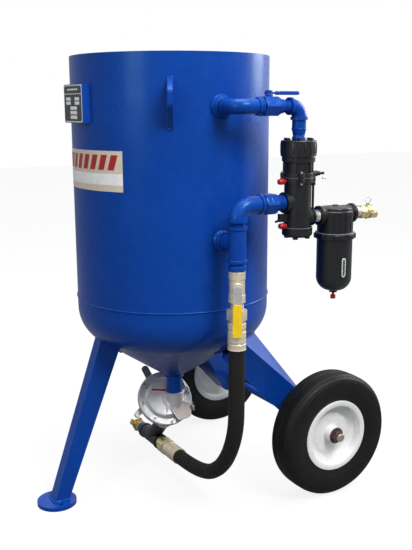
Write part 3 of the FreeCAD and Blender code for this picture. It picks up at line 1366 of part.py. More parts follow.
def moisture_filter():
    spot = size("filter_y")
    reach = size("filter_reach")
    level = size("filter_height")
    radius = size("filter_head_radius")
    low = size("filter_head_bottom")
    high = size("filter_head_top")
    dome = turned_body("filter_head_turned", [
        (0, low), (radius, low), (radius, high - 16), (radius - 4, high - 13), (radius - 4, high - 5, 4),
        (14, high, 3), (0, high),
    ])
    ports = []
    for side, turn in ((1, ALONG_Y), (-1, ALONG_MINUS_Y)):
        name = "filter_port_" + ("a" if side > 0 else "b")
        ports.append(cylinder(name, size("charge_bead") + 1, reach, 0, 0, level, turn))
    bore = cylinder("filter_head_bore", size("charge_bore"), reach * 2, 0, -reach, level, ALONG_Y)
    hollow = cylinder("filter_head_hollow", size("element_radius") - 8, 40, 0, 0, low - 1)
    whole = cut("filter_head", fuse("filter_head_outside", [dome] + ports),
                fuse("filter_head_inside", [bore, hollow]))
    place(whole, pipe_x, spot, 0)
    keep(whole, "filter_head")
    wall = size("bowl_wall")
    rim = size("bowl_radius")
    lip = rim - 3
    bottom = size("bowl_bottom")
    shoulder = low - size("clamp_height")
    drain = 4 + size("run_fit")
    bowl = turned_body("filter_bowl", [
        (drain, bottom), (12, bottom), (12, bottom + 6), (rim, bottom + 6, 42), (rim, shoulder), (lip, shoulder),
        (lip, low - 0.5), (lip - wall, low - 0.5), (lip - wall, shoulder - 2), (rim - wall, shoulder - 6),
        (rim - wall, bottom + 6 + wall, 38), (drain, bottom + 6 + wall),
    ])
    place(bowl, pipe_x, spot, 0)
    keep(bowl, "filter_bowl")
    clamp = turned_body("filter_clamp", [
        (lip + size("fit_gap"), shoulder + 0.2), (size("clamp_radius"), shoulder + 0.2, 3),
        (size("clamp_radius"), low, 3), (lip + size("fit_gap"), low),
    ])
    place(clamp, pipe_x, spot, 0)
    keep(clamp, "filter_clamp")
    element = turned_body("filter_element", [
        (22, bottom + 50), (size("element_radius"), bottom + 50), (size("element_radius"), low - 6),
        (26, low - 4), (26, low), (22, low),
    ])
    place(element, pipe_x, spot, 0)
    keep(element, "filter_element")
    knob = turned_body("drain_cock", [
        (0, bottom - 21), (size("knob_radius"), bottom - 21, 2),
        (size("knob_radius"), bottom - 21 + size("knob_height"), 2), (4, bottom - 8), (4, bottom + 18), (0, bottom + 18),
    ])
    place(knob, pipe_x, spot, 0)
    keep(knob, "drain_cock")


def filter_pipes():
    """Bare steel nipples on both sides of the filter, and the two brass claw couplings."""
    level = size("filter_height")
    near = size("filter_y") - size("filter_reach")
    far = size("filter_y") + size("filter_reach")
    nipples = [
        pipe_turn("supply_nipple", pipe_x, 0, level, ALONG_Y, size("charge_pipe"), size("charge_bore"),
                  near - size("filter_nipple") + 1, near),
        pipe_turn("inlet_nipple", pipe_x, 0, level, ALONG_Y, size("charge_pipe"), size("charge_bore"),
                  far, far + size("filter_nipple")),
    ]
    group("steel_nipples", nipples)
    inlet = place(claw_coupling("inlet_claw", size("inlet_bore")), pipe_x, far + size("filter_nipple"), level, ALONG_Y)
    keep(inlet, "inlet_coupling")
    start = wye_x - size("wye_half") - size("outlet_nipple")
    outlet = place(claw_coupling("outlet_claw", size("outlet_bore")), start, 0, size("line_height"), ALONG_MINUS_X)
    keep(outlet, "outlet_coupling")


# ---------------------------------------------------------------- metering valve

def meter_turn():
    """Turn of the metering valve: its own Z is the disc's axis, its own X points down the plate."""
    around = Rotation(Vector(0, 0, 1), size("meter_azimuth").value)
    return around * Rotation(Vector(0, 1, 0), 90 - size("meter_tilt").value)


def on_meter(thing):
    return place(thing, size("meter_x"), size("meter_y"), size("meter_z"), meter_turn())


def meter_local(point, free=False):
    """A point or a direction of the pot's frame, in the metering valve's own frame."""
    origin = Vector() if free else Vector(size("meter_x").value, size("meter_y").value, size("meter_z").value)
    return meter_turn().inverted().multVec(point - origin)


def meter_cylinder(name, radius, start, way, length):
    """A cylinder of the pot's frame, placed in the metering valve's own frame."""
    item = cylinder(name, radius, length)
    item.Placement = Placement(meter_local(start), Rotation(Vector(0, 0, 1), meter_local(way, True)))
    return item


def metering_valve():
    joint = Vector(0, 0, size("meter_joint_z").value)
    up = Vector(0, 0, 1)
    down_line = wye_way() * -1
    radius = size("meter_radius")
    flange = size("meter_flange")
    dish = size("meter_dish_radius")
    depth = size("meter_dish")
    cavity_half = size("disc_thick") / 2 + size("disc_gap")
    plate_outline = [(0, 0), (radius, 0), (radius, flange, 3), (dish + 4, flange, 4), (dish - 6, depth, 5), (0, depth)]
    front_plate = turned_body("meter_front_plate", plate_outline)
    riser = meter_cylinder("meter_riser", size("meter_inlet"), joint, up,
                           size("meter_shoulder_z").value - joint.z)
    neck = meter_cylinder("meter_neck", size("spout_radius"), joint, up,
                          size("spout_end_height").value - joint.z)
    knee = ball("meter_knee", size("meter_inlet"))
    knee.Placement = Placement(meter_local(joint), Rotation())
    front_outside = fuse("meter_front_outside", [front_plate, riser, neck, knee])
    behind = cylinder("meter_behind", radius + 40, 60, 0, 0, -60)
    cavity = cylinder("meter_front_cavity", size("disc_radius") + 1, cavity_half + 4, 0, 0, -4)
    riser_bore = meter_cylinder("meter_riser_bore", size("spout_bore"), joint, up, 80)
    knee_bore = ball("meter_knee_bore", size("spout_bore"))
    knee_bore.Placement = Placement(meter_local(joint), Rotation())
    run_bore = meter_cylinder("meter_run_bore", size("spout_bore"), joint, down_line, 60)
    holes = meter_bolt_ring("meter_front_hole", lambda name: cylinder(name, size("meter_bolt") + size("fit_gap"), 60), -20)
    front = cut("metering_front", front_outside,
                fuse("meter_front_inside", [behind, cavity, riser_bore, knee_bore, run_bore] + holes))
    on_meter(front)
    keep(front, "metering_front")

    back_plate = turned_body("meter_back_plate", plate_outline)
    place(back_plate, 0, 0, 0, TOP_DOWN)
    distance = (joint - Vector(wye_x.value, 0, size("line_height").value)).Length
    outlet_start = joint + down_line * 22
    outlet = meter_cylinder("meter_outlet", size("meter_outlet"), outlet_start, down_line,
                            distance - size("wye_reach").value - 22)
    collar = meter_cylinder("meter_outlet_collar", size("meter_outlet") + 3,
                            joint + down_line * (distance - size("wye_reach").value - 10), down_line, 10)
    gland = cylinder("meter_gland", size("shaft_radius") + 6, depth + 10, 0, 0, 0, TOP_DOWN)
    back_cavity = cylinder("meter_back_cavity", size("disc_radius") + 1, cavity_half + 4, 0, 0, 0 - cavity_half)
    outlet_bore = meter_cylinder("meter_outlet_bore", size("spout_bore"), joint, down_line, 200)
    shaft_hole = cylinder("meter_shaft_hole", size("shaft_radius") + size("run_fit"), 60, 0, 0, 0, TOP_DOWN)
    holes = meter_bolt_ring("meter_back_hole", lambda name: cylinder(name, size("meter_bolt") + size("fit_gap"), 60), -40)
    back = cut("metering_back", fuse("meter_back_outside", [back_plate, outlet, collar, gland, meter_ear()]),
               fuse("meter_back_inside", [back_cavity, outlet_bore, shaft_hole] + holes))
    on_meter(back)
    keep(back, "metering_back")

    half = size("disc_thick") / 2
    wheel = cylinder("meter_disc", size("disc_radius"), size("disc_thick"), 0, 0, -half)
    shaft = cylinder("meter_shaft", size("shaft_radius"), 44, 0, 0, 0, TOP_DOWN)
    port = meter_cylinder("meter_disc_port", size("spout_bore"), joint + down_line * -30, down_line, 80)
    disc = cut("metering_disc", fuse("meter_disc_outside", [wheel, shaft]), port)
    on_meter(disc)
    keep(disc, "metering_disc")
    metering_lever()
    metering_cover(front)
    bolts = meter_bolt_ring("meter_screw", lambda name: through_bolt(name, 2 * flange.value), 0)
    on_meter(group("metering_bolts", bolts))


def meter_bolt_ring(name, maker, height):
    """Seven bolts: the eighth place is under the cover."""
    pieces = []
    for i in range(7):
        angle = math.radians(97.5 + 45 * i)
        piece = maker(name + "_" + str(i + 1))
        circle = size("bolt_circle")
        place(piece, circle * math.cos(angle), circle * math.sin(angle), height)
        pieces.append(piece)
    return pieces


def through_bolt(name, grip):
    """Bolt through both flanges with a head on the front and a nut behind."""
    item = doc.addObject("Part::Feature", name)
    head = bolt_head(grip / 2)
    nut = bolt_head(-grip / 2 - size("bolt_head_height").value)
    shank = Part.makeCylinder(size("meter_bolt").value, grip + 14, Vector(0, 0, -grip / 2 - 9))
    item.Shape = shank.fuse([head, nut]).removeSplitter()
    return item


def meter_ear():
    """Cast ear that stands out behind the back plate, under the lever's sweep."""
    ear = new_body("meter_ear")
    outline = new_sketch(ear, "XY_Plane", -size("ear_low"))
    wide = size("ear_width") / 2
    draw_outline(outline, [(0, -wide), (78, -wide, wide * 0.9), (78, wide, wide * 0.9), (0, wide)])
    pad(ear, outline, size("ear_low") - size("ear_high"))
    return place(ear, -8, -42, 0, Rotation(Vector(0, 0, 1), -51))


def metering_lever():
    """Hand lever that turns the disc from behind."""
    length = size("meter_lever")
    wide = size("meter_lever_width") / 2
    thick = size("meter_lever_thick")
    arm = new_body("meter_arm")
    outline = new_sketch(arm, "XY_Plane", -size("meter_dish") - 14 - thick)
    hub = size("shaft_radius") + 3
    draw_outline(outline, [(hub, -hub, hub * 0.96), (hub, hub, hub * 0.96), (-14, hub, 8), (-34, wide, 12),
                           (-length, wide, wide * 0.9), (-length, -wide, wide * 0.9), (-34, -wide, 12),
                           (-14, -hub, 8)])
    draw_circle(outline, 0, 0, size("shaft_radius") + size("fit_gap"))
    pad(arm, outline, thick)
    around = Rotation(Vector(0, 0, 1), 18.4)
    place(arm, size("meter_x"), size("meter_y"), size("meter_z"), meter_turn() * around)
    keep(arm, "metering_lever")


def metering_cover(front):
    """Five-sided cover over the cleaning port of the front plate, held by a wing nut."""
    reach = size("cover_radius")
    item = new_body("meter_cover_plate")
    sketch = new_sketch(item, "XY_Plane", size("meter_flange"))
    points = []
    for i in range(5):
        angle = math.radians(72 * i + 44)
        points.append((size("cover_x") + reach * math.cos(angle), size("cover_y") + reach * math.sin(angle), 5))
    draw_outline(sketch, points)
    pad(item, sketch, size("cover_top") - size("meter_flange"))
    doc.recompute()
    casting = doc.addObject("Part::Feature", "meter_cover_relief")
    casting.Shape = front.Base.Shape.copy()
    trimmed = cut("meter_cover_trimmed", item, casting)
    x, y, top = size("wing_x"), size("wing_y"), size("cover_top")
    stud = cylinder("meter_wing_stud", 4, 16, x, y, top)
    wing_hub = cylinder("meter_wing_hub", 7, 9, x, y, top + 2)
    wings = box("meter_wings", 22, 4, 12, x - 11, y - 2, top + 5)
    nut = fuse("meter_wing_nut", [stud, wing_hub, wings])
    for piece in (trimmed, nut):
        on_meter(piece)
    group("metering_cover", [trimmed, nut])


# ---------------------------------------------------------------- build, check and write

BUILDERS = [
    tank_shell, lower_head, upper_head, filler_ring, seat_seal, popup_valve, popup_guide,
    tank_couplings, hand_hole, lifting_lugs, nameplate_bracket, front_leg, foot_plate,
    lambda: rear_leg("rear_leg_right", 1), lambda: rear_leg("rear_leg_left", -1), axle, wheels,
    pipe_elbows, blue_nipples, upper_valve, pipe_unions, air_valve, air_valve_fittings,
    lower_tee, lower_valve, hose_ferrules, air_hose, pusher_wye, moisture_filter, filter_pipes,
    metering_valve,
]


def tight_box(shape):
    box_now = shape.optimalBoundingBox(True, False)
    return [round(v, 1) for v in (box_now.XMin, box_now.XMax, box_now.YMin, box_now.YMax,
                                  box_now.ZMin, box_now.ZMax)]


def main():
    for builder in BUILDERS:
        builder()
    doc.recompute()
    bad = [item.Name for item in doc.Objects if "Invalid" in item.State or "Error" in item.State]
    for item in sub_parts:
        if item.Shape.isNull() or not item.Shape.isValid() or not item.Shape.Solids:
            bad.append(item.Label)
    if bad:
        raise RuntimeError("not sound: " + ", ".join(bad))
    os.makedirs("parts", exist_ok=True)
    for item in sub_parts:
        item.Shape.exportStep("parts/" + item.Label + ".step")
        print(item.Label, len(item.Shape.Solids), round(item.Shape.Volume / 1000), tight_box(item.Shape))
    print(len(sub_parts), "sub-parts written")


main()
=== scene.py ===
import math

import bpy
from mathutils import Matrix, Quaternion, Vector


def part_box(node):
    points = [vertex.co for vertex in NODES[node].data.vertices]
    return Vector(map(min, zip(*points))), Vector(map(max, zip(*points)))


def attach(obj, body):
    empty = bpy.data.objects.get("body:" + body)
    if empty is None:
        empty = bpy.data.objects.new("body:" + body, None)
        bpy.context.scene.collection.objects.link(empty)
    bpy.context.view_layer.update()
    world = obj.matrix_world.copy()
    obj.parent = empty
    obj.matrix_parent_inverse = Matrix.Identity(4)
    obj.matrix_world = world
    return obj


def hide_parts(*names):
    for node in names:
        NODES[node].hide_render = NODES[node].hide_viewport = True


# Looks of the blast pot: camera, light, finishes and the fine pieces that ride on the CAD bodies.
# Lengths are metres, or millimetres inside mm(), in the CAD frame: +Z up the vessel's axis, floor
# at 0, wheels at +Y, valves at +X.

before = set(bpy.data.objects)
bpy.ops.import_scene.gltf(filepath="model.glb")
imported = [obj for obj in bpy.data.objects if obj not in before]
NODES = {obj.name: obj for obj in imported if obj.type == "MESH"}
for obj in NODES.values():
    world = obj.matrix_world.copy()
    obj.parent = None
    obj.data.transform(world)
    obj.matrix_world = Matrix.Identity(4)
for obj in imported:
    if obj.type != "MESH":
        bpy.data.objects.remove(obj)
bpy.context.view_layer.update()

# -------- places in the CAD frame

SHELL_LOW, SHELL_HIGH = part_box("tank_shell")
SHELL_RADIUS = SHELL_HIGH.x
RIM_Z = SHELL_HIGH.z
SEAM_Z = SHELL_LOW.z
PIPE_X = 0.39
CHARGE_Z = 1.221
VALVE_Y = 0.205
BRANCH_Z = 0.952
BALL_Z = 0.725
LINE_Z = 0.069
FILTER_Y = 0.345
FILTER_Z = 0.906
METER_FRAME = (Matrix.Translation((-0.021, -0.025, 0.263))
               @ Matrix.Rotation(math.radians(-10), 4, "Z") @ Matrix.Rotation(math.radians(56), 4, "Y"))
AXLE_SPOT = Vector((0, 0.369, 0.199))
WHEEL_X = 0.357

# -------- camera

CAMERA_SPOT = (2.2374, -1.1676, 1.2223)
CAMERA_TURN = (59.99, 11.98, 0.27)
FOCAL_LENGTH = 52.1
SENSOR_WIDTH = 36


def make_camera():
    """A camera at the photograph's viewpoint, turned by azimuth, pitch and roll in degrees."""
    data = bpy.data.cameras.new("camera")
    camera = bpy.data.objects.new("camera", data)
    bpy.context.collection.objects.link(camera)
    data.lens = FOCAL_LENGTH
    data.sensor_width = SENSOR_WIDTH
    data.clip_end = 60
    azimuth, pitch, roll = map(math.radians, CAMERA_TURN)
    level = math.cos(pitch)
    way = Vector((-math.sin(azimuth) * level, math.cos(azimuth) * level, -math.sin(pitch)))
    camera.location = CAMERA_SPOT
    camera.rotation_mode = "QUATERNION"
    camera.rotation_quaternion = Quaternion(way, roll) @ way.to_track_quat("-Z", "Y")
    bpy.context.scene.camera = camera


make_camera()

# -------- hose

HOSE_ROUTE = [(0.39, 0, 0.543), (0.39, 0, 0.408), (0.387, 0, 0.273), (0.312, 0, 0.142),
              (0.18, 0, 0.069), (0.03, 0, 0.069)]
HOSE_RADIUS = 0.024


def make_hose():
    """The hose as a curve through its route, straight out of both ferrules."""
    curve = bpy.data.curves.new("hose_line", "CURVE")
    curve.dimensions = "3D"
    curve.bevel_depth = HOSE_RADIUS
    curve.bevel_resolution = 8
    spline = curve.splines.new("NURBS")
    spline.points.add(len(HOSE_ROUTE) - 1)
    for point, spot in zip(spline.points, HOSE_ROUTE):
        point.co = (*spot, 1)
    spline.order_u = 3
    spline.use_endpoint_u = True
    spline.resolution_u = 24
    hose = bpy.data.objects.new("hose", curve)
    bpy.context.collection.objects.link(hose)
    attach(hose, "pot")
    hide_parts("air_hose")
    return hose


hose = make_hose()

# -------- materials


class Nodes:
    """Short names for building a node tree. A value may be a plain one or another node's output."""

    def __init__(self, tree):
        self.tree = tree

    def node(self, kind, **inputs):
        made = self.tree.nodes.new(kind)
        for key, value in inputs.items():
            self.feed(made.inputs[key.replace("_", " ")], value)
        return made

    def feed(self, socket, value):
        if isinstance(value, bpy.types.NodeSocket):
            self.tree.links.new(value, socket)
        else:
            socket.default_value = value

    def ramp(self, value, *stops):
        made = self.node("ShaderNodeValToRGB", Fac=value)
        band = made.color_ramp
        while len(band.elements) < len(stops):
            band.elements.new(0.5)
        for element, (spot, shade) in zip(band.elements, stops):
            element.position = spot
            element.color = shade if hasattr(shade, "__len__") else (shade, shade, shade, 1)
        return made.outputs["Color"]

    def mix(self, factor, first, second):
        made = self.tree.nodes.new("ShaderNodeMix")
        made.data_type = "RGBA"
        self.feed(made.inputs["Factor"], factor)
        self.feed(made.inputs[6], first)
        self.feed(made.inputs[7], second)
        return made.outputs[2]

    def maths(self, what, *values, kind="ShaderNodeMath", clamp=False):
        made = self.tree.nodes.new(kind)
        made.operation = what
        if clamp:
            made.use_clamp = True
        for socket, value in zip(made.inputs, values):
            self.feed(socket, value)
        return made.outputs["Value"]

    def span(self, value, low, high, to_low, to_high):
        made = self.node("ShaderNodeMapRange", Value=value, From_Min=low, From_Max=high, To_Min=to_low,
                         To_Max=to_high)
        return made.outputs[0]

    def blend(self, factor, first, second):
        made = self.node("ShaderNodeMixShader", Fac=factor)
        self.feed(made.inputs[1], first)
        self.feed(made.inputs[2], second)
        return made.outputs[0]

    def bump(self, height, strength, distance, under=None):
        made = self.node("ShaderNodeBump", Height=height, Strength=strength, Distance=distance)
        if under:
            self.feed(made.inputs["Normal"], under)
        return made.outputs["Normal"]


class Shader(Nodes):
    """One node material, built round its Principled shader."""

    def __init__(self, name):
        self.material = bpy.data.materials.new(name)
        self.material.use_nodes = True
        super().__init__(self.material.node_tree)
        self.main = self.tree.nodes["Principled BSDF"]
        self.place = self.node("ShaderNodeTexCoord").outputs["Object"]

    def noise(self, scale, detail=4, rough=0.5):
        made = self.node("ShaderNodeTexNoise", Vector=self.place, Scale=scale, Detail=detail, Roughness=rough)
        return made.outputs["Fac"]

    def finish(self, color, rough, normal=None, metallic=0.0, **sockets):
        self.feed(self.main.inputs["Base Color"], color)
        self.feed(self.main.inputs["Roughness"], rough)
        self.main.inputs["Metallic"].default_value = metallic
        if normal:
            self.feed(self.main.inputs["Normal"], normal)
        for key, value in sockets.items():
            self.main.inputs[key.replace("_", " ")].default_value = value
        return self.material


def rgb(red, green, blue):
    """A display colour, 0 to 255, as the linear colour that the shader wants."""

    def linear(value):
        value = value / 255
        return value / 12.92 if value < 0.04045 else ((value + 0.055) / 1.055) ** 2.4
    return (linear(red), linear(green), linear(blue), 1)


def painted(name, color, worn, rough=(0.22, 0.38), dust=0.12, coat=0.4, tint=(1, 1, 1, 1)):
    """Gloss enamel: slight orange peel, faint tone clouds, dust, and a few chips to the primer."""
    s = Shader(name)
    clouds = s.noise(5.0, 5, 0.6)
    tone = s.mix(s.ramp(clouds, (0.35, 0.0), (0.7, 1.0)), color, [c * 0.86 for c in color[:3]] + [1])
    grime = s.ramp(s.noise(38.0, 6, 0.65), (0.52, 0.0), (0.78, 1.0))
    tone = s.mix(s.maths("MULTIPLY", grime, dust), tone, worn)
    flecks = s.ramp(s.noise(150.0, 3, 0.6), (0.745, 0.0), (0.765, 1.0))
    tone = s.mix(flecks, tone, worn)
    gloss = s.ramp(s.noise(14.0, 5, 0.6), (0.3, rough[0]), (0.75, rough[1]))
    normal = s.bump(s.noise(420.0, 2, 0.5), 0.12, 0.0006)
    normal = s.bump(clouds, 0.1, 0.002, normal)
    return s.finish(tone, gloss, normal, Coat_Weight=coat, Coat_Roughness=0.12, Specular_Tint=tint,
                    Specular_IOR_Level=0.32)


def metal(name, color, dull, rough=(0.25, 0.45), stain=0.35):
    """Bare or plated metal: grain, smudges and a duller tone in patches."""
    s = Shader(name)
    patches = s.ramp(s.noise(30.0, 6, 0.65), (0.38, 0.0), (0.72, 1.0))
    tone = s.mix(s.maths("MULTIPLY", patches, stain), color, dull)
    fine = s.noise(220.0, 4, 0.6)
    gloss = s.ramp(fine, (0.3, rough[0]), (0.7, rough[1]))
    return s.finish(tone, gloss, s.bump(fine, 0.15, 0.0004), metallic=1.0)


def cast(name, color, dull, metallic, rough=(0.35, 0.6), strength=0.5, size=190.0):
    """Sand-cast or powder-coated surface: pebbled, with darker hollows."""
    s = Shader(name)
    pebbles = s.noise(size, 5, 0.6)
    tone = s.mix(s.ramp(pebbles, (0.35, 0.0), (0.65, 1.0)), dull, color)
    patches = s.ramp(s.noise(24.0, 5, 0.6), (0.4, 0.0), (0.75, 1.0))
    tone = s.mix(s.maths("MULTIPLY", patches, 0.4), tone, dull)
    gloss = s.ramp(s.noise(60.0, 4, 0.6), (0.3, rough[0]), (0.7, rough[1]))
    return s.finish(tone, gloss, s.bump(pebbles, strength, 0.0006), metallic=metallic)


def rubber(name, color, dusty, rough=(0.5, 0.75), weave=0.0, specular=0.4):
    """Black rubber with bloom and dust, and a wrapped-cloth print where weave is set."""
    s = Shader(name)
    bloom = s.ramp(s.noise(26.0, 6, 0.7), (0.4, 0.0), (0.8, 1.0))
    tone = s.mix(s.maths("MULTIPLY", bloom, 0.5), color, dusty)
    gloss = s.ramp(s.noise(70.0, 4, 0.6), (0.3, rough[0]), (0.7, rough[1]))
    normal = s.bump(s.noise(900.0, 3, 0.5), 0.2, 0.0004)
    if weave:
        cross = s.node("ShaderNodeTexWave", Vector=s.place, Scale=weave, Distortion=1.5, Detail=2)
        cross.bands_direction = "DIAGONAL"
        normal = s.bump(cross.outputs["Fac"], 0.25, 0.0006, normal)
    return s.finish(tone, gloss, normal, Specular_IOR_Level=specular)


def plastic(name, color, shade, rough=(0.3, 0.45), bump=0.08):
    """Smooth moulded or printed surface with a faint mottle."""
    s = Shader(name)
    patches = s.ramp(s.noise(60.0, 5, 0.6), (0.35, 0.0), (0.75, 1.0))
    tone = s.mix(s.maths("MULTIPLY", patches, 0.6), color, shade)
    gloss = s.ramp(s.noise(120.0, 4, 0.6), (0.3, rough[0]), (0.7, rough[1]))
    return s.finish(tone, gloss, s.bump(s.noise(600.0, 2, 0.5), bump, 0.0004))


BLUE = painted("blue_enamel", rgb(9, 64, 158), rgb(84, 118, 164), dust=0.07, coat=0.05,
               tint=(0.35, 0.8, 1, 1))
WHITE = painted("white_enamel", rgb(244, 244, 241), rgb(168, 152, 132), dust=0.16)
GREY = painted("grey_enamel", rgb(118, 122, 126), rgb(70, 66, 62), dust=0.3, rough=(0.35, 0.55))
BLACK = cast("black_powder_coat", rgb(23, 24, 26), rgb(14, 14, 15), 0.0, rough=(0.3, 0.44), strength=0.2)
STEEL = metal("bare_steel", rgb(190, 190, 188), rgb(120, 116, 110))
RUSTY = cast("rusty_steel", rgb(104, 84, 80), rgb(66, 46, 42), 0.4, rough=(0.4, 0.7), strength=0.3)
ZINC = metal("zinc_plate", rgb(206, 200, 180), rgb(150, 140, 110), rough=(0.2, 0.4))
ALLOY = cast("cast_alloy", rgb(222, 222, 224), rgb(196, 195, 196), 0.6, rough=(0.36, 0.5), strength=0.16,
             size=420.0)
COVER = cast("machined_cover", rgb(172, 162, 158), rgb(150, 140, 137), 0.5, rough=(0.4, 0.52), strength=0.1,
             size=500.0)
STRAP = metal("bright_strap", rgb(246, 244, 240), rgb(212, 206, 196), rough=(0.3, 0.45), stain=0.3)
BRASS = metal("brass", rgb(206, 172, 96), rgb(140, 106, 50), rough=(0.22, 0.42))
RUBBER = rubber("hose_rubber", rgb(20, 20, 18), rgb(40, 38, 34), weave=90.0, specular=0.25)
TYRE = rubber("tyre_rubber", rgb(15, 15, 14), rgb(32, 30, 28), rough=(0.42, 0.62), specular=0.22)
SEAL = rubber("seal_rubber", rgb(24, 24, 24), rgb(70, 66, 62))
RED = plastic("red_plastic", rgb(196, 30, 34), rgb(130, 16, 20))
YELLOW = plastic("yellow_vinyl", rgb(255, 216, 24), rgb(232, 178, 14))
FILTER_PAPER = plastic("filter_media", rgb(214, 208, 196), rgb(170, 160, 144), rough=(0.7, 0.9))
NUT_STEEL = metal("worn_nut", rgb(196, 190, 176), rgb(128, 104, 78), rough=(0.3, 0.5), stain=0.6)
GASKET = plastic("gasket", rgb(112, 114, 116), rgb(84, 84, 84), rough=(0.6, 0.8))
SIGHT = plastic("sight_lens", rgb(214, 220, 214), rgb(168, 176, 170), rough=(0.08, 0.2))
PLATE_BLACK = plastic("plate_black", rgb(24, 25, 27), rgb(48, 48, 50), rough=(0.25, 0.4))
PLATE_SILVER = plastic("plate_silver", rgb(226, 228, 230), rgb(198, 200, 204), rough=(0.25, 0.4), bump=0.03)
NICKEL = cast("satin_nickel", rgb(244, 232, 208), rgb(214, 198, 168), 0.45, rough=(0.28, 0.42), strength=0.12,
              size=320.0)
PALE_BRASS = metal("pale_brass", rgb(238, 222, 170), rgb(206, 176, 116), rough=(0.22, 0.4), stain=0.45)
YELLOW_ZINC = metal("yellow_zinc", rgb(206, 204, 128), rgb(160, 148, 76), rough=(0.22, 0.4))
LABEL_SILVER = plastic("label_foil", rgb(226, 212, 190), rgb(204, 188, 166), rough=(0.3, 0.42), bump=0.04)
LABEL_WHITE = plastic("label_white", rgb(250, 250, 248), rgb(226, 224, 220))
LABEL_RED = plastic("label_red", rgb(178, 36, 42), rgb(142, 26, 32))

FINISHES = {
    BLUE: ["tank_shell", "lower_head", "upper_head", "filler_ring", "popup_guide", "tank_couplings",
           "hand_hole_frame", "hand_hole_cover", "lifting_lugs", "nameplate_bracket", "front_leg",
           "foot_plate", "rear_leg_right", "rear_leg_left", "axle", "pipe_elbows", "blue_nipples",
           "upper_valve_body", "upper_valve_lever", "pipe_unions", "lower_tee"],
    WHITE: ["wheel_rim_right", "wheel_rim_left"],
    GREY: ["metering_lever"],
    BLACK: ["pusher_wye", "signal_fitting", "air_valve_bolts", "air_valve_cap", "air_valve_bonnet",
            "air_valve_body", "air_valve_base", "filter_head", "filter_bowl", "filter_clamp"],
    NICKEL: ["lower_valve_body", "hose_ferrules"],
    STEEL: ["upper_valve_ball", "lower_valve_ball", "metering_disc", "metering_bolts", "air_valve_piston"],
    RUSTY: ["axle_fasteners"],
    ALLOY: ["metering_front", "metering_back"],
    COVER: ["metering_cover"],
    STRAP: ["lower_valve_lever", "steel_nipples"],
    BRASS: ["inlet_coupling", "outlet_coupling", "hub_bushes"],
    TYRE: ["tyre_right", "tyre_left"],
    SEAL: ["seat_seal", "popup_valve"],
    RED: ["red_plugs", "drain_cock"],
    YELLOW: ["lever_sleeve"],
    FILTER_PAPER: ["filter_element"],
    RUBBER: ["air_hose"],
}


def dress(thing, material):
    """Give a thing one material and no other."""
    thing.data.materials.clear()
    thing.data.materials.append(material)


for material, names in FINISHES.items():
    for name in names:
        dress(NODES[name], material)
dress(hose, RUBBER)

# -------- mesh building


def ring(radius, z, count):
    """Points evenly round a circle about Z."""
    return [(radius * math.cos(2 * math.pi * k / count), radius * math.sin(2 * math.pi * k / count), z)
            for k in range(count)]


def quads(rows, count, closed):
    """Faces between neighbouring rings of points, and from the last ring to the first if closed."""
    faces = []
    for row in range(rows if closed else rows - 1):
        after = (row + 1) % rows
        for k in range(count):
            n = (k + 1) % count
            faces.append([row * count + k, row * count + n, after * count + n, after * count + k])
    return faces


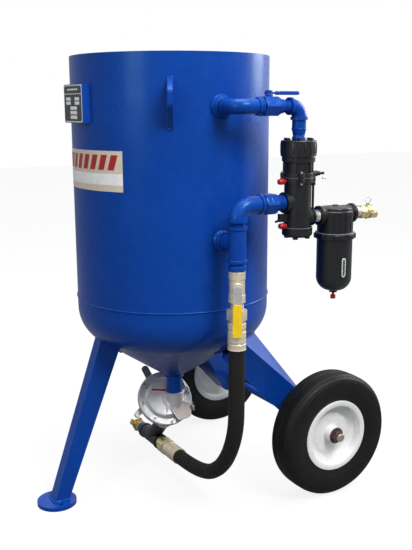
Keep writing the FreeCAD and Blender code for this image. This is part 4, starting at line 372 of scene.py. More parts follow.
class Build:
    """Collects parts of one visible piece, then makes it a mesh that rides on a body."""

    def __init__(self, name, body, material, slot):
        self.name, self.body, self.slot = name, body, slot
        self.points, self.faces, self.marks = [], [], []
        self.materials = [material]

    def add(self, points, faces, turn=None, material=None):
        start = len(self.points)
        self.points += [turn @ Vector(p) if turn else Vector(p) for p in points]
        self.faces += [[start + i for i in face] for face in faces]
        if material and material not in self.materials:
            self.materials.append(material)
        self.marks += [self.materials.index(material) if material else 0] * len(faces)

    def lathe(self, profile, turn=None, steps=48, material=None, closed=True):
        """Turn a (radius, height) outline about Z, joining its ends if it is closed."""
        points = [point for radius, height in profile for point in ring(radius, height, steps)]
        self.add(points, quads(len(profile), steps, closed), turn, material)

    def prism(self, outline, low, high, turn=None, bevel=0.0, material=None):
        """A flat outline raised from low to high, its rims cut back by a bevel."""
        count = len(outline)
        centre = sum((Vector((*p, 0)) for p in outline), Vector()) / count
        points = []
        levels = [(low, 0), (high, 0)]
        if bevel:
            levels = [(low, bevel), (low + bevel, 0), (high - bevel, 0), (high, bevel)]
        for height, inset in levels:
            for p in outline:
                reach = Vector((*p, 0)) - centre
                shrunk = centre + reach * max(0.0, 1 - inset / max(reach.length, 1e-6))
                points.append((shrunk.x, shrunk.y, height))
        caps = [list(range(count))[::-1], [len(points) - count + i for i in range(count)]]
        self.add(points, caps + quads(len(levels), count, False), turn, material)

    def rod(self, path, radius, sides=10, closed=False, ripple=0.0, beat=0.0, material=None):
        """A round rod along points. Ripple and beat give the stacked look of a weld bead."""
        count = len(path)
        path = [Vector(p) for p in path]
        points = []
        side = None
        gone = 0.0
        for i, spot in enumerate(path):
            before = path[i - 1] if closed or i else spot
            after = path[(i + 1) % count] if closed or i < count - 1 else spot
            way = (after - before).normalized()
            if side is None:
                side = way.orthogonal().normalized()
            side = (side - way * side.dot(way)).normalized()
            up = way.cross(side)
            gone += (spot - path[i - 1]).length if i else 0
            swell = 1 + ripple * math.sin(2 * math.pi * gone / beat) if beat else 1
            for k in range(sides):
                angle = 2 * math.pi * k / sides
                points.append(spot + (side * math.cos(angle) + up * math.sin(angle)) * radius * swell)
        faces = quads(count, sides, closed)
        if not closed:
            faces += [list(range(sides))[::-1], [(count - 1) * sides + k for k in range(sides)]]
        self.add(points, faces, None, material)

    def weld(self, path, radius, closed=True, ripple=0.14, beat=0.006):
        """A rippled bead along points."""
        self.rod(path, radius, 8, closed, ripple, beat)

    def done(self, smooth_angle=35):
        """Make the mesh, with edges sharper than an angle in degrees kept sharp, and let it ride."""
        mesh = bpy.data.meshes.new(self.name)
        mesh.from_pydata([tuple(p) for p in self.points], [], self.faces)
        for material in self.materials:
            mesh.materials.append(material)
        mesh.polygons.foreach_set("material_index", self.marks)
        mesh.validate()
        thing = bpy.data.objects.new(self.name, mesh)
        bpy.context.collection.objects.link(thing)
        mesh.shade_smooth()
        mesh.set_sharp_from_angle(angle=math.radians(smooth_angle))
        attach(thing, self.body)
        return thing


def at(x, y, z, turn=None):
    """A frame at a spot, turned if a turn is given."""
    return Matrix.Translation((x, y, z)) @ (turn or Matrix.Identity(4))


def aimed(spot, way, roll=0.0):
    """A frame at a spot whose Z points along a way."""
    turn = Vector(way).to_track_quat("Z", "Y").to_matrix().to_4x4()
    return Matrix.Translation(spot) @ turn @ Matrix.Rotation(roll, 4, "Z")


ALONG_X = Matrix.Rotation(math.pi / 2, 4, "Y")
UPRIGHT = Matrix.Rotation(math.pi / 2, 4, "X")
OVER = Matrix.Rotation(math.pi, 4, "X")
FLAT_UP = math.pi / 6


def along_y(y, z, way=1, roll=0.0):
    """A frame in the pipework's plane whose Z points along Y, or against it."""
    return aimed((PIPE_X, y, z), (0, way, 0), roll)


def spun(degrees):
    """A turn about Z."""
    return Matrix.Rotation(math.radians(degrees), 4, "Z")


def mm(*points):
    """Points given in millimetres, as metres."""
    return [tuple(value / 1000 for value in point) for point in points]


def mirrored(half):
    """An outline whose first half is given, from one side of its middle line to the other."""
    return half + [(x, -y) for x, y in half[::-1] if y]


def rounded_rectangle(width, height, corner, centre=(0, 0), steps=5):
    """An outline with rounded corners, each of them a quarter circle in steps."""
    points = []
    for index, (sx, sy) in enumerate(((1, 1), (-1, 1), (-1, -1), (1, -1))):
        for k in range(steps + 1):
            angle = math.pi / 2 * (index + k / steps)
            points.append((centre[0] + sx * (width / 2 - corner) + corner * math.cos(angle),
                           centre[1] + sy * (height / 2 - corner) + corner * math.sin(angle)))
    return points


def on_shell(angle, z, lift=0.0):
    """A point on the shell's outside, its angle in degrees from +X."""
    turn = math.radians(angle)
    reach = SHELL_RADIUS + lift
    return Vector((reach * math.cos(turn), reach * math.sin(turn), z))


def add_nut(build, across, height, hole, turn, material=None):
    """A hexagon nut with both rims chamfered to the inscribed circle."""
    inscribed = across / 2
    drop = (across / math.sqrt(3) - inscribed) * 0.55
    shoulder = inscribed * 0.97
    steps = 36
    points = []
    for radius, z in ((hole, 0), (shoulder, 0), (None, drop), (None, height - drop), (shoulder, height),
                      (hole, height)):
        for k in range(steps):
            angle = 2 * math.pi * k / steps
            local = (angle + math.pi / 6) % (math.pi / 3) - math.pi / 6
            reach = inscribed / math.cos(local) if radius is None else radius
            points.append((reach * math.cos(angle), reach * math.sin(angle), z))
    build.add(points, quads(6, steps, True), turn, material)


def add_thread(build, radius, depth, pitch, low, high, turn, material=None):
    """V thread drawn as closely spaced rings, which is how it reads at this size."""
    profile = [(radius - depth - 0.0004, low)]
    z = low
    while z + pitch <= high:
        profile += [(radius - depth, z), (radius, z + pitch / 2)]
        z += pitch
    profile += [(radius - depth, z), (radius - depth - 0.0004, z)]
    build.lathe(profile, turn, 28, material)


def add_bolt_head(build, spot, across, height, material=None):
    """Hexagon head with a washer face, standing on a frame's XY plane."""
    build.lathe([(across * 0.56, 0.0), (across * 0.56, 0.0007), (0.0, 0.0007)], spot, 20, material, False)
    add_nut(build, across, height, 0.0006, spot @ at(0, 0, 0.0006), material)


def cast_onto(node, start, way):
    """Where a ray first meets a CAD node, or None."""
    hit, spot, _, _ = NODES[node].ray_cast(Vector(start), Vector(way).normalized())
    return spot if hit else None


# -------- welds

BEAD = 0.0026
SEAM_RIPPLE = (0.16, 0.007)
LEG_RIPPLE = (0.2, 0.007)
LONG_SEAM_ANGLE = 118
LUG_ANGLES = (-27.6, 152.4)
HALF_LUG = 0.0075
HALF_BRACKET = 0.0715
DOOR_SIZE = (0.199, 0.157, 0.062)
DOOR_Z = 0.76


def along_sides(corners, steps):
    """Corners of a closed outline with points added along each side."""
    points = []
    for i, corner in enumerate(corners):
        after = Vector(corners[(i + 1) % len(corners)])
        points += [Vector(corner).lerp(after, k / steps) for k in range(steps)]
    return points


def leg_weld(build, low, high, steps, radius):
    """A bead where a leg's section, swept from its low corners to its high ones, meets the cone."""
    path = []
    for start, end in zip(along_sides(low, steps), along_sides(high, steps)):
        spot = cast_onto("lower_head", start, end - start)
        if spot:
            path.append(spot)
    build.weld(path, radius, True, *LEG_RIPPLE)


def make_welds():
    """Beads at the shell's seams, legs, lugs, hand hole, bracket, filler ring, spout and axle."""
    build = Build("weld_beads", "pot", BLUE, "blue_paint")
    build.weld(ring(SHELL_RADIUS + 0.0002, SEAM_Z, 420), BEAD, True, *SEAM_RIPPLE)
    build.weld([on_shell(LONG_SEAM_ANGLE, z / 1000, 0.0002) for z in range(640, 1368, 3)], BEAD, False,
               *SEAM_RIPPLE)
    build.weld(ring(0.0275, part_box("lower_head")[0].z - 0.001, 60), 0.004)
    half = math.degrees(HALF_LUG / SHELL_RADIUS)
    for angle in LUG_ANGLES:
        build.weld([on_shell(angle + half, 1.16 + k * 0.005) for k in range(29)]
                   + [on_shell(angle - half, 1.3 - k * 0.005) for k in range(29)], BEAD)
    door = rounded_rectangle(*DOOR_SIZE, (0, DOOR_Z), 10)
    build.weld([(-math.sqrt(SHELL_RADIUS ** 2 - y * y) - 0.0005, y, z) for y, z in door], 0.004)
    edge = math.degrees(math.asin(HALF_BRACKET / SHELL_RADIUS))
    for side in (-1, 1):
        build.weld([on_shell(-90 + side * edge, 1.178 + k * 0.006) for k in range(18)], 0.002, False)
    foot = mm((-23, -437, 13.5), (23, -437, 13.5), (23, -389, 13.5), (-23, -389, 13.5))
    build.weld(along_sides(foot, 8), 0.0038, True, *LEG_RIPPLE)
    leg_weld(build, mm((23.5, -436.5, 12), (-23.5, -436.5, 12), (-23.5, -390, 12), (23.5, -390, 12)),
             mm((23.5, -258.5, 505), (-23.5, -258.5, 505), (-23.5, -198, 464), (23.5, -198, 464)), 12, 0.0034)
    low = mm((294, 404.67, 231.12), (237, 404.67, 231.12), (237, 333.33, 166.88), (294, 333.33, 166.88))
    high = mm((278, 134, 476), (181, 201, 511), (128, 152, 458), (225, 85, 423))
    for side in (1, -1):
        leg_weld(build, *([(side * x, y, z) for x, y, z in ends] for ends in (low, high)), 14, 0.0036)
    ring_low, ring_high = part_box("filler_ring")
    build.weld(ring(ring_high.x + 0.0015, ring_low.z + 0.0115, 120), 0.003)
    build.weld(ring(SHELL_RADIUS - 0.0072, RIM_Z - 0.0105, 300), 0.0022)
    for side in (1, -1):
        build.weld([(side * 0.2365, AXLE_SPOT.y + y, AXLE_SPOT.z + z) for y, z,
                    _ in ring(0.0145, 0, 24)], 0.0028)
    build.done(60)


# -------- name plate and shell label

PLATE_FACE = -0.318
LABEL_LOW, LABEL_HIGH = 0.985, 1.1
LABEL_START, LABEL_END = -126.0, -54.0


def make_name_plate():
    """Black plate with a silver border and blank white fields on the bent bracket."""
    face = at(0, PLATE_FACE, 1.231, UPRIGHT)
    plate = Build("name_plate", "pot", PLATE_SILVER, "bare_steel")

    def patch(material, low, corner, width, height, x, y):
        plate.prism(rounded_rectangle(width, height, corner, (x, y)), low, low + 0.0002, face, 0, material)

    plate.prism(rounded_rectangle(0.14, 0.106, 0.003), 0, 0.0008, face, 0.0002)
    patch(PLATE_BLACK, 0.0008, 0.001, 0.134, 0.021, 0, 0.0395)
    patch(PLATE_BLACK, 0.0008, 0.001, 0.134, 0.076, 0, -0.0115)
    for y in (0.0135, 0.0015):
        for x in (-0.034, 0.034):
            patch(LABEL_WHITE, 0.001, 0.0006, 0.036, 0.009, x, y)
    for y in (-0.0125, -0.0255, -0.0385):
        patch(LABEL_WHITE, 0.001, 0.0006, 0.052, 0.0095, 0.006, y)
    for x in (-0.034, -0.017, 0, 0.017, 0.034):
        patch(LABEL_WHITE, 0.001, 0.0004, 0.013, 0.005, x, 0.04)
    for x in (-0.065, 0.065):
        for y in (-0.048, 0.048):
            plate.lathe(mm((0, 2.4), (1.2, 2.2), (2.2, 1.4), (2.3, 0.6)), face @ at(x, y, 0), 16, STEEL,
                        False)
    plate.done(30)


def make_shell_label():
    """Brushed label round the front of the shell: a plain striped motif over a white band."""
    build = Build("shell_label", "pot", LABEL_SILVER, "bare_steel")
    span = LABEL_HIGH - LABEL_LOW

    def band(low, high, lift, material, steps=48):
        """A band all along the label, between two shares of its height."""
        points = []
        for k in range(steps + 1):
            angle = LABEL_START + (LABEL_END - LABEL_START) * k / steps
            points += [on_shell(angle, LABEL_LOW + share * span, lift) for share in (low, high)]
        build.add(points, [[2 * k, 2 * k + 2, 2 * k + 3, 2 * k + 1] for k in range(steps)], None, material)

    band(0, 1, 0.0004, LABEL_SILVER)
    band(0.16, 0.44, 0.0007, LABEL_WHITE)
    low, high = LABEL_LOW + 0.53 * span, LABEL_LOW + 0.9 * span
    lean, width, steps = 2.6, 4.3, 4
    for k in range(9):
        start = LABEL_START + 7 + k * 6.9
        stripe = [on_shell(start + width * i / steps, low, 0.0008) for i in range(steps + 1)]
        stripe += [on_shell(start + lean + width * (1 - i / steps), high, 0.0008) for i in range(steps + 1)]
        build.add(stripe, [list(range(len(stripe)))], None, LABEL_RED)
    build.done(180)


make_welds()
make_name_plate()
make_shell_label()

# -------- wheels

WHEELS = {"wheel_right": 1, "wheel_left": -1}


def wheel_frame(side, reach=WHEEL_X):
    """A frame on the axle whose Z points away from the pot."""
    return at(side * reach, AXLE_SPOT.y, AXLE_SPOT.z, ALONG_X if side > 0 else ALONG_X @ OVER)


def make_tyre(body, side):
    """Ribbed pneumatic tyre: crowned tread with fine grooves, shoulder step and moulded rings."""
    crown = 0.1985
    half = [(crown, 0)]
    for groove in (0.0075, 0.0165, 0.0245):
        half += [(crown - groove * 0.02, groove - 0.0016), (crown - 0.0028, groove - 0.0009),
                 (crown - 0.0028, groove + 0.0009), (crown - groove * 0.02 - 0.0002, groove + 0.0016)]
    half += mm((196.5, 32.5), (193, 37), (191.5, 37.2), (190, 39.5), (188, 42.8), (184.5, 45.2), (180, 46.8),
               (179.5, 46.2), (178, 46.2), (177, 47.4), (170, 48.2), (160, 48.4), (150, 48), (140, 46.6),
               (133, 44.7), (132.5, 43.7), (131.2, 43.3), (130, 43.2), (123, 41), (118, 39), (116, 37.6),
               (102.4, 37.6))
    build = Build("tyre_" + body, body, TYRE, "tyre_rubber")
    build.lathe(mirrored(half), wheel_frame(side), 144)
    node = "tyre_right" if side > 0 else "tyre_left"
    tyre = build.done(28)
    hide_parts(node)


def make_rim(body, side):
    """Pressed white disc wheel with a drop-centre barrel, a raised ring and a short hub."""
    half = mm((95.8, 15), (90, 13), (80, 7.5), (74, 6), (69, 7.5), (64, 12), (56, 14), (42, 13.5), (33, 12),
              (27, 12.5), (24.5, 16), (24, 20), (24, 37.2), (23.4, 37.9), (18.05, 37.9))
    thick = 0.0035
    outer = mm((114.5, 40.5), (113.5, 41.8), (112, 42), (98.5, 41.9), (96.8, 41), (96.2, 39.5), (96, 30),
               (95.8, 19))
    back = mm((18.05, -37.9), (23.4, -37.9), (24, -37.2), (24, 4), (26.2, 5))
    back += [(r, z - thick - 0.001) for r, z in half[::-1] if 0.03 < r < 0.094]
    back += mm((95.8, 8), (96, -39.5), (96.8, -41), (98.5, -41.9), (112, -42), (113.5, -41.8), (114.5, -40.5))
    bed = mirrored(mm((114.5, -38.2), (102.2, -37.9), (101.6, -34)))
    build = Build("rim_" + body, body, WHITE, "white_paint")
    build.lathe(outer + half + back + bed, wheel_frame(side), 128)
    rim = build.done(32)
    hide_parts("wheel_rim_right" if side > 0 else "wheel_rim_left")


def make_wheel_fasteners():
    """Rusty domed washers, chamfered nuts and threaded axle ends."""
    build = Build("wheel_fasteners", "pot", RUSTY, "bare_steel")
    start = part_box("axle_fasteners")[1].x - 0.018
    for side in (1, -1):
        turn = wheel_frame(side, start)
        build.lathe(mm((12.7, 0), (25.2, 0), (26, 0.8), (26, 2.6), (25, 3.6), (19, 4), (12.7, 4)), turn, 64)
        add_nut(build, 0.0335, 0.0128, 0.0125, turn @ at(0, 0, 0.0041))
        add_thread(build, 0.0126, 0.0008, 0.0016, 0.0166, 0.0258, turn, NUT_STEEL)
        build.lathe(mm((12.8, 16), (12.7, 25.6), (11.4, 27.2), (0, 27.2)), turn, 32, NUT_STEEL, False)
    fasteners = build.done(30)
    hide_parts("axle_fasteners")


for body, side in WHEELS.items():
    make_tyre(body, side)
    make_rim(body, side)
make_wheel_fasteners()

# -------- charging line and air valve


def make_line_threads():
    """Exposed pipe threads where the charging and pusher lines are screwed together."""
    build = Build("pipe_threads", "pot", BLUE, "blue_paint")
    line = [
        (along_y(0.146, CHARGE_Z), 0.0177, 0, 0.016),
        (aimed((PIPE_X, 0, 0.8955), (0, 0, 1)), 0.0222, 0, 0.012),
        (aimed((-0.2315, 0, LINE_Z), (-1, 0, 0)), 0.0222, 0, 0.009),
    ]
    for spot, radius, low, high in line:
        add_thread(build, radius, 0.0012, 0.0022, low, high, spot)
    build.done(30)


def make_union_nuts():
    """Hexagons, collars and the weld's flare on the blue lines, and the lever's grip."""
    build = Build("charge_valve_nuts", "pot", BLUE, "blue_paint")
    for start, way in ((0.079, 1), (0.1235, -1)):
        add_nut(build, 0.0524, 0.0125, 0.02, along_y(start, CHARGE_Z, way, FLAT_UP))
    build.lathe(mm((23.6, -1.5), (26.2, -1), (26.6, 0.8), (26.2, 2.6), (23.6, 3.1)),
                along_y(0.0715, CHARGE_Z), 40)
    flare = mm((24, -4), (34.5, -4), (33.8, 3.5), (30.5, 8), (28.5, 15), (26.6, 18.8), (24, 19.6))
    build.lathe(flare, aimed((SHELL_RADIUS, 0, CHARGE_Z), (1, 0, 0)), 56)
    build.done(30)
    grip = Build("charge_lever_grip", "upper_lever", BLUE, "blue_paint")
    grip.prism(rounded_rectangle(0.0215, 0.08, 0.01, (0, 0.0605)), 0.0306, 0.0408,
               at(PIPE_X, 0.101, CHARGE_Z), 0.0028)
    grip.done(50)
    union = Build("union_rings", "pot", BLACK, "black_paint")
    turn = at(PIPE_X, VALVE_Y, 0)
    union.lathe(mm((19, 1155.5), (21.2, 1156.2), (21.8, 1158), (21.2, 1160), (19, 1160.5)), turn, 40, BLUE)
    union.lathe(mm((17.2, 1128.5), (18.8, 1129), (19.6, 1130.5), (19.6, 1134.5), (18.8, 1136),
                   (17.2, 1136.5)), turn, 40, BLUE)
    union.done(30)
    lower = Build("pusher_union_nut", "pot", BLUE, "blue_paint")
    line = along_y(0, BRANCH_Z, 1, FLAT_UP)
    for start, length, across in mm((83, 14, 56.2), (98.5, 15, 56.2), (115, 12, 52)):
        add_nut(lower, across, length, 0.0246, line @ at(0, 0, start))
    add_thread(lower, 0.0226, 0.0012, 0.0023, 0.1305, 0.152, line)
    lower.done(30)


def make_air_valve_trim():
    """Flange ears with bolts, gasket line, side tube and small plugs of the air valve."""
    build = Build("air_valve_trim", "pot", BLACK, "black_paint")
    axis = at(PIPE_X, VALVE_Y, 0)
    for k in range(4):
        turn = axis @ spun(-24 + 90 * k)
        ear = mirrored(mm((36, -9.5), (45.5, -8.5), (50.5, -4.5), (52, 0)))
        for low in (1.0085, 1.0225):
            build.prism(ear, low, low + 0.013, turn, 0.0008)
        add_bolt_head(build, turn @ at(0.0452, 0, 1.0356), 0.0078, 0.0044, STEEL)
        add_bolt_head(build, turn @ at(0.0452, 0, 1.0084, OVER), 0.0078, 0.0044, STEEL)
        lug = mirrored(mm((43, -12), (50, -10), (51.2, 0)))
        build.prism(lug, 1.0665, 1.0815, turn @ spun(45), 0.001)
    build.lathe(mm((42.5, 1021.4), (44.7, 1021.4), (44.7, 1022.6), (42.5, 1022.6)), axis, 56, GASKET)
    for angle in range(20, 315, 42):
        build.prism(mirrored(mm((37.5, -2.2), (44, -1.6))), 1.0372, 1.064, axis @ spun(angle), 0.0006)
    for angle in range(7, 367, 20):
        build.prism(mirrored(mm((49.5, -3.5), (52.1, -3))), 1.09, 1.118, axis @ spun(angle), 0.0006)
    x, y, _ = axis @ spun(60) @ Vector((0.044, 0, 0))
    build.rod([(x, y, z) for z in (1.008, 0.99, 0.96, 0.93)], 0.0036, 14)
    build.lathe(mm((0, -4), (6.2, -4), (6.6, -3), (6.6, 4), (0, 5)), at(x, y, 1.003), 24, None, False)
    add_nut(build, 0.01, 0.007, 0.0005, along_y(VALVE_Y - 0.0385, 1.052, -1))
    wing = along_y(VALVE_Y - 0.054, 0.9085, -1)
    build.prism(mm((-4, -11), (4, -11), (6, 0), (4, 11), (-4, 11), (-6, 0)), 0, 0.012, wing, 0.001)
    for x, z in ((0.008, 0.916), (-0.008, 0.901)):
        build.rod([(PIPE_X + x * 0.4, VALVE_Y - 0.062, z), (PIPE_X + x, VALVE_Y - 0.072, z + x * 0.5)],
                  0.0035, 10)
    build.lathe(mm((42.5, 878.5), (44.6, 878.5), (44.6, 879.9), (42.5, 879.9)), axis, 56, GASKET)
    build.lathe(mm((28.2, 0), (30, 0.8), (30.2, 3), (30, 5.6), (28.2, 6.2)),
                along_y(0.1535, BRANCH_Z), 48)
    build.lathe(mm((24.7, 0), (26.8, 0.8), (27, 3), (26.8, 5.6), (24.7, 6.2)),
                along_y(0.2495, FILTER_Z), 44)
    build.done(32)
    tube = Build("control_tube_end", "pot", LABEL_WHITE, "white_paint")
    tube.rod([(PIPE_X, 0.2935, 1.016), (PIPE_X, 0.296, 1.016), (PIPE_X + 0.0004, 0.301, 1.0155),
              (PIPE_X + 0.001, 0.306, 1.0147)], 0.003, 12)
    tube.done(40)


def make_red_plugs():
    """Stubby ribbed plugs with domed ends in the near side of the air valve."""
    low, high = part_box("red_plugs")
    build = Build("plug_caps", "pot", RED, "red_plastic")
    for y, z in ((low.y + 0.032, high.z - 0.0075), (high.y, low.z + 0.0075)):
        turn = along_y(y, z, -1)
        build.lathe(mm((0, 0), (5, 0), (5, 4.2), (7.8, 5), (8.2, 6.2), (8.2, 20.5), (7.4, 23.2), (4.5, 24.6),
                       (0, 25)), turn, 32, None, False)
        for angle in range(0, 360, 30):
            build.prism(mirrored(mm((7.8, -0.8), (8.7, -0.5))), 0.0075, 0.0195, turn @ spun(angle), 0.0002)
    caps = build.done(35)
    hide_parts("red_plugs")


make_line_threads()
make_union_nuts()
make_air_valve_trim()
make_red_plugs()

# -------- filter


def make_filter_trim():
    """Ribs, clamp lugs, gasket line, port collars and the sight glass of the filter."""
    build = Build("filter_trim", "pot", BLACK, "black_paint")
    axis = at(PIPE_X, FILTER_Y, 0)
    for angle in (*range(-72, 49, 24), *range(132, 253, 24)):
        build.prism(mirrored(mm((50.5, -2.2), (53.3, -1.6))), 0.856, 0.915, axis @ spun(angle), 0.0008)
    for angle in range(11, 371, 45):
        build.prism(mirrored(mm((57.5, -8.5), (62.2, -6.5), (62.8, 0))), 0.8355, 0.85, axis @ spun(angle),
                    0.001)
    build.lathe(mm((56, 851.4), (59, 851.6), (59.2, 852.4), (58.8, 853), (51.8, 853.4)), axis, 72, GASKET)
    for way in (1, -1):
        spot = along_y(FILTER_Y + way * 0.0655, FILTER_Z, way)
        build.lathe(mm((25.2, -10.5), (28.4, -9.8), (29, -8), (29, -1.2), (28, 0), (17.5, 0.3), (17.2, -2)),
                    spot, 48, None, False)
    build.lathe(mm((0, 934.5), (8, 934.5), (9.2, 933.5), (9.6, 930), (9.6, 929)), axis, 32, None, False)
    build.done(32)
    glass = Build("filter_sight", "pot", LABEL_WHITE, "white_paint")
    turn = axis @ spun(-7) @ at(0.0526, 0, 0.7525, ALONG_X)
    glass.prism(rounded_rectangle(0.062, 0.0165, 0.008), -0.003, 0.0016, turn, 0.0005, BLACK)
    glass.prism(rounded_rectangle(0.058, 0.0135, 0.0066), 0.001, 0.0022, turn, 0.0004, SIGHT)
    glass.prism(rounded_rectangle(0.049, 0.0066, 0.0032), 0.0018, 0.0024, turn, 0, BLACK)
    for k in range(6):
        glass.prism(rounded_rectangle(0.0012, 0.004, 0.0004, (-0.02 + 0.008 * k, 0)), 0.0024, 0.0026, turn,
                    0, SIGHT)
    glass.done(32)
    threads = Build("steel_nipple_threads", "pot", STRAP, "bare_steel")
    for start, end in ((0.2562, 0.2785), (0.4115, 0.434)):
        add_thread(threads, 0.0178, 0.0011, 0.0022, 0, end - start,
                   along_y(start, FILTER_Z))
    threads.done(30)


def add_claws(build, turn, reach):
    """Two hooked claws with lead-in slopes."""
    hook = [(reach + x, z) for x, z in mm((-5.5, 0), (1, 1), (3, 12), (2.8, 22), (0.5, 26.2), (-9.5, 26.2),
                                          (-10.5, 24), (-6, 20), (-5.5, 12))]
    for angle in (0, 180):
        build.prism(hook, -0.0092, 0.0092, turn @ spun(angle) @ UPRIGHT, 0.0012)


def make_couplings():
    """Cast brass claw couplings: hexagon, necked body, sealing face and hooked claws."""
    for name, node, metal_look, spot, way, bore in (
            ("inlet_claws", "inlet_coupling", PALE_BRASS, (PIPE_X, 0.435, FILTER_Z), (0, 1, 0), 0.013),
            ("outlet_claws", "outlet_coupling", BRASS, (-0.255, 0, LINE_Z), (-1, 0, 0), 0.0165)):
        turn = aimed(spot, way, math.radians(25))
        build = Build(name, "pot", metal_look, "brass")
        add_nut(build, 0.0385, 0.013, bore, turn @ at(0, 0, 0.0003))
        body = mm((18.8, 12.5), (19.6, 14.5), (19, 16.5), (17.8, 19), (17.8, 28), (18.6, 31), (21.4, 33.5),
                  (22, 35.5), (22, 40), (21.2, 41.8), (19.6, 42.4), (19, 41.5))
        build.lathe([(bore, 0.012), *body, (bore, 0.0415)], turn, 48)
        build.lathe([(bore, 0.0415), (0.0186, 0.0415), (0.0186, 0.0432), (0.0176, 0.0438),
                     (bore + 0.001, 0.0438), (bore, 0.043)], turn, 40, SEAL)
        add_claws(build, turn @ at(0, 0, 0.032), 0.0225)
        for angle in (90, 270):
            build.prism(mirrored(mm((19, -6), (25, -4.5), (25.6, 0))), 0.034, 0.041, turn @ spun(angle),
                        0.0008)
        piece = build.done(32)
        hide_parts(node)
    pin = Build("coupling_pin", "pot", STEEL, "bare_steel")
    turns = [2 * math.pi * k / 28 for k in range(28)]
    pin.rod([(PIPE_X + 0.004 * math.sin(2 * a), 0.4705 + 0.0105 * math.cos(a), 0.9385 + 0.0105 * math.sin(a))
             for a in turns], 0.0008, 8, True)
    pin.rod([(PIPE_X - 0.006, 0.47, 0.9285), (PIPE_X + 0.01, 0.47, 0.9285)], 0.0014, 10, material=BLACK)
    pin.done(40)


make_filter_trim()
make_couplings()

# -------- lower ball valve, ferrules, wye


def make_ferrules():
    """Crimped sleeves, plated hexagons and threads at both hose ends."""
    build = Build("ferrule_trim", "pot", ZINC, "zinc_steel")
    for spot, way, nut, thread in ((HOSE_ROUTE[0], (0, 0, 1), NICKEL, ZINC),
                                   (HOSE_ROUTE[-1], (-1, 0, 0), YELLOW_ZINC, YELLOW_ZINC)):
        turn = aimed(spot, way, FLAT_UP)
        for low in (0.02, 0.034):
            build.lathe([(0.0262, low), (0.0267, low + 0.0012), (0.0267, low + 0.0078),
                         (0.0262, low + 0.009)], turn, 56, NICKEL)
        add_nut(build, 0.0503, 0.0302, 0.021, turn @ at(0, 0, 0.0854), nut)
        add_thread(build, 0.02, 0.0012, 0.0021, 0.1168, 0.1365, turn, thread)
        build.lathe(mm((24, -1.2), (27, -0.8), (27.2, 0.8), (26.6, 2), (24, 1.8)), turn, 56, NICKEL)
    build.done(30)


def make_lower_valve_trim():
    """Blue collar, forged shoulders, gland and gland nut of the ball valve."""
    build = Build("lower_valve_trim", "pot", NICKEL, "bare_steel")
    axis = at(PIPE_X, 0, 0)
    build.lathe(mm((24, 770.6), (25, 771.2), (25.3, 773), (25.3, 782.2), (24.8, 784.2), (24, 784.6)), axis,
                56, BLUE)
    build.lathe(mm((23.2, 768.8), (24.4, 768.4), (24.7, 766.8), (24.3, 765), (23.2, 764.6)), axis, 56)
    build.lathe(mm((23.2, 680.8), (24.4, 681.2), (24.7, 682.8), (24.3, 684.6), (23.2, 685)), axis, 56)
    stem = at(PIPE_X, 0, BALL_Z) @ spun(-30) @ ALONG_X
    build.lathe(mm((6.2, 20), (15, 20), (14.6, 24.6), (12.8, 26.2), (6.2, 26.4)), stem, 40)
    add_nut(build, 0.02, 0.006, 0.0062, stem @ at(0, 0, 0.0268))
    build.done(30)


def make_wye_trim():
    """A joint ring on the wye's riser and a cast rib in its crotch."""
    build = Build("wye_trim", "pot", BLACK, "black_paint")
    centre = Vector((-0.169, 0, LINE_Z))
    way = (Vector((0, 0, 0.252)) - centre).normalized()
    build.lathe(mm((26.5, 118.5), (29.2, 119), (29.8, 120.5), (29.8, 122.5), (29, 124), (26.5, 124.5)),
                aimed(centre, way), 48, STEEL)
    build.rod([centre + Vector((0.014 + 0.046 * t, 0, 0)) + way * (0.02 + 0.034 * t) * (1 - 0.25 * t)
               for t in (0, 0.3, 0.6, 1.0)], 0.005, 12)
    build.done(32)


def arc(radius, start, end, height, count=24):
    """Points along an arc about Z, its ends in degrees."""
    return [spun(start + (end - start) * k / count) @ Vector((radius, 0, height)) for k in range(count + 1)]


METER_BOLTS = 0.081


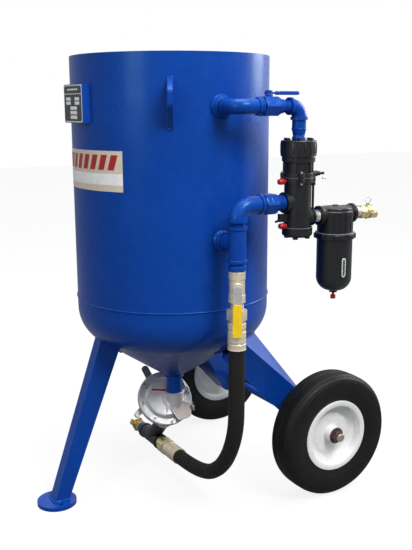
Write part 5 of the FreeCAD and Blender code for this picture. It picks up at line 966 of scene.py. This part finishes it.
def make_metering_trim():
    """Ribs, hump, collar, gasket line, bolts and clip of the castings, the sleeve and the blank strip."""
    plate = METER_FRAME
    build = Build("metering_trim", "pot", ALLOY, "cast_alloy")

    def ridge(points, radius):
        build.rod([plate @ Vector(p) for p in points], radius, 12)

    ridge(arc(0.062, -103, -12, 0.0188), 0.0034)
    ridge(arc(0.0885, 0, 360, 0.0093, count=96), 0.001)
    ridge(mm((-13, -18, 20.2), (-3, -15.5, 20.6), (7, -14, 20.6), (18, -10, 20.6), (28, -5, 20.6),
             (40, -4.5, 20.4), (52, -7, 20)), 0.0022)
    ridge(mm((66, 4, 12), (76, 10, 10), (86, 16, 9.4)), 0.0018)
    ridge(mm((-30, 30, 20.2), (-12, 46, 20.6), (6, 56, 20.2)), 0.0022)
    hump = plate @ at(0.01825, 0.02827, 0)
    build.lathe(mm((20, 29), (23.6, 25), (27.2, 22.4), (32, 20.6), (38.5, 19.9), (38.5, 18.8), (20, 18.8)),
                hump, 64)
    build.lathe(mm((25.5, 285.8), (30, 286.2), (30.7, 288), (30.5, 291.2), (28.5, 292.6), (25.5, 292.8)),
                None, 56)
    build.lathe(mirrored(mm((90.5, -0.9), (92.1, -0.6))), plate, 96, GASKET)
    for k in range(7):
        spot = plate @ at(*(spun(97.5 + 45 * k) @ Vector((METER_BOLTS, 0, 0))))
        build.lathe(mm((4, 8.8), (9.2, 8.8), (9.5, 9.4), (9.2, 10), (4, 10.1)), spot, 28, STEEL)
        build.lathe(mm((0, 16.8), (3.2, 16.6), (4.8, 15.8), (5.2, 14.9)), spot, 24, STEEL, False)
    clip = plate @ at(-0.034, 0.07, 0.009, spun(20))
    build.prism(rounded_rectangle(0.024, 0.013, 0.005), 0, 0.009, clip, 0.0015)
    build.rod([clip @ Vector((x, 0, 0.011)) for x in (-0.009, 0, 0.009)], 0.0032, 12, material=STEEL)
    build.done(40)
    sleeve = Build("spout_sleeve", "pot", BLUE, "blue_paint")
    sleeve.lathe(mm((25.5, 291.6), (26.6, 292), (26.8, 293.4), (26.7, 319.5), (26.4, 320.5), (25.5, 320.7)),
                 None, 56)
    sleeve.done(40)
    strip = Build("metering_strip", "pot", LABEL_WHITE, "white_paint")
    lean = plate @ at(-0.0265, -0.017, 0.02, spun(81))
    strip.prism(rounded_rectangle(0.059, 0.0115, 0.0008), 0, 0.0006, lean)
    strip.prism(rounded_rectangle(0.056, 0.0078, 0.0006), 0.0006, 0.0009, lean, 0, LABEL_RED)
    strip.done(40)


def make_cleaning_cover():
    """Five-sided cover with rounded corners and a rim, its screw and its wing nut."""
    plate = METER_FRAME
    wing = Build("cleaning_cover", "pot", COVER, "cast_alloy")
    corners = [Vector((0.05, 0.044, 0)) + spun(72 * k + 44) @ Vector((0.037, 0, 0)) for k in range(5)]
    outline = []
    for k, corner in enumerate(corners):
        before, after = corners[k - 1], corners[(k + 1) % 5]
        start, end = corner.lerp(before, 0.16), corner.lerp(after, 0.16)
        for step in range(5):
            t = step / 4
            spot = start.lerp(corner, t).lerp(corner.lerp(end, t), t)
            outline.append((spot.x, spot.y))
    wing.prism(outline, 0.009, 0.0262, plate, 0.0018)
    wing.rod([plate @ Vector((x, y, 0.0262)) for x, y in outline], 0.0016, 10, True, material=ALLOY)
    wing.lathe(mm((0, 29), (4, 28.8), (6.4, 27.8), (7.8, 26.2), (7.8, 25)), plate @ at(0.036, 0.03, 0), 24,
               STEEL, False)
    nut = plate @ at(0.046, 0.08, 0.0235)
    wing.lathe(mm((0, 17.5), (4, 17.2), (6.2, 12), (7.8, 7), (8.6, 1.8), (8.6, 0)), nut, 28, None, False)
    for side in (0, 180):
        ear = nut @ spun(side) @ UPRIGHT
        wing.prism(mm((4, 3), (11, 7.5), (15, 13), (14.8, 18.5), (11, 19.5), (7.5, 15), (4.5, 12.5)), -0.0021,
                   0.0021, ear, 0.0008)
    cover = wing.done(40)
    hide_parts("metering_cover")


make_ferrules()
make_lower_valve_trim()
make_wye_trim()
make_metering_trim()
make_cleaning_cover()

# -------- floor, backdrop and light

GLOSS_SHARE = 0.12
FLOOR_HALF = 14
REAR_GLOW_WAY = (-0.25, 0.95, 0.1)


def seen_white(nodes):
    """How white the surroundings are to a ray: fully to the camera, partly in gloss and through glass."""
    path = nodes.node("ShaderNodeLightPath").outputs
    soft = nodes.maths("ADD", path["Is Glossy Ray"], path["Is Transmission Ray"])
    return nodes.maths("MULTIPLY_ADD", soft, GLOSS_SHARE, path["Is Camera Ray"], clamp=True)


def make_stage():
    """White floor to the camera and a dimmer one to everything else, as in a product cut-out."""
    s = Shader("pale_floor")
    seen = seen_white(s)
    s.finish(s.mix(seen, rgb(80, 82, 86), rgb(250, 250, 250)), s.ramp(s.noise(3.0), (0.3, 0.7), (0.7, 0.8)),
             s.bump(s.noise(80.0), 0.05, 0.001), Specular_IOR_Level=0.0)
    glow = s.node("ShaderNodeEmission", Color=(1, 1, 1, 1), Strength=0.985)
    floor_look = s.blend(s.maths("MULTIPLY", seen, 0.86), s.main.outputs[0], glow.outputs[0])
    s.feed(s.tree.nodes["Material Output"].inputs["Surface"], floor_look)
    mesh = bpy.data.meshes.new("floor")
    corners = [(x * FLOOR_HALF, y * FLOOR_HALF, 0) for x, y in ((-1, -1), (1, -1), (1, 1), (-1, 1))]
    mesh.from_pydata(corners, [], [(0, 1, 2, 3)])
    floor = bpy.data.objects.new("floor", mesh)
    bpy.context.collection.objects.link(floor)
    dress(floor, s.material)


def make_sky():
    """White where the camera looks; elsewhere a dim room, brighter overhead and behind the wheels."""
    world = bpy.data.worlds.new("studio")
    bpy.context.scene.world = world
    world.use_nodes = True
    sky = Nodes(world.node_tree)
    way = sky.node("ShaderNodeTexCoord").outputs["Generated"]
    height = sky.node("ShaderNodeSeparateXYZ", Vector=way).outputs["Z"]
    rear = sky.maths("DOT_PRODUCT", way, REAR_GLOW_WAY, kind="ShaderNodeVectorMath")
    room = world.node_tree.nodes["Background"]
    sky.feed(room.inputs["Color"], (0.93, 0.96, 1.0, 1))
    sky.feed(room.inputs["Strength"], sky.maths("ADD", sky.span(height, -0.1, 1.0, 0.25, 1.0),
                                                sky.span(rear, 0.45, 1.0, 0, 0.55)))
    pale = sky.node("ShaderNodeBackground", Color=(1, 1, 1, 1))
    sky.feed(world.node_tree.nodes["World Output"].inputs["Surface"],
             sky.blend(seen_white(sky), room.outputs[0], pale.outputs[0]))


def area_light(name, spot, target, size, power):
    """A rectangular lamp, its power in watts, that looks at a target."""
    data = bpy.data.lights.new(name, "AREA")
    data.shape = "RECTANGLE"
    data.size, data.size_y = size
    data.energy = power
    lamp = bpy.data.objects.new(name, data)
    bpy.context.collection.objects.link(lamp)
    lamp.location = spot
    lamp.rotation_mode = "QUATERNION"
    lamp.rotation_quaternion = (Vector(target) - Vector(spot)).to_track_quat("-Z", "Y")


make_stage()
make_sky()
area_light("key", (2.9, 0.4, 3.6), (0, 0, 0.8), (1.5, 1.5), 122)
area_light("side", (0.2, 3.9, 2.4), (0.2, 0.2, 0.7), (1.6, 2.2), 90)
area_light("front", (1.6, -3.4, 1.9), (0, -0.1, 0.9), (1.4, 1.4), 20)
area_light("top", (0.2, 0.2, 4.2), (0, 0, 0.8), (2.2, 2.2), 70)

bpy.context.scene.view_settings.view_transform = "Standard"
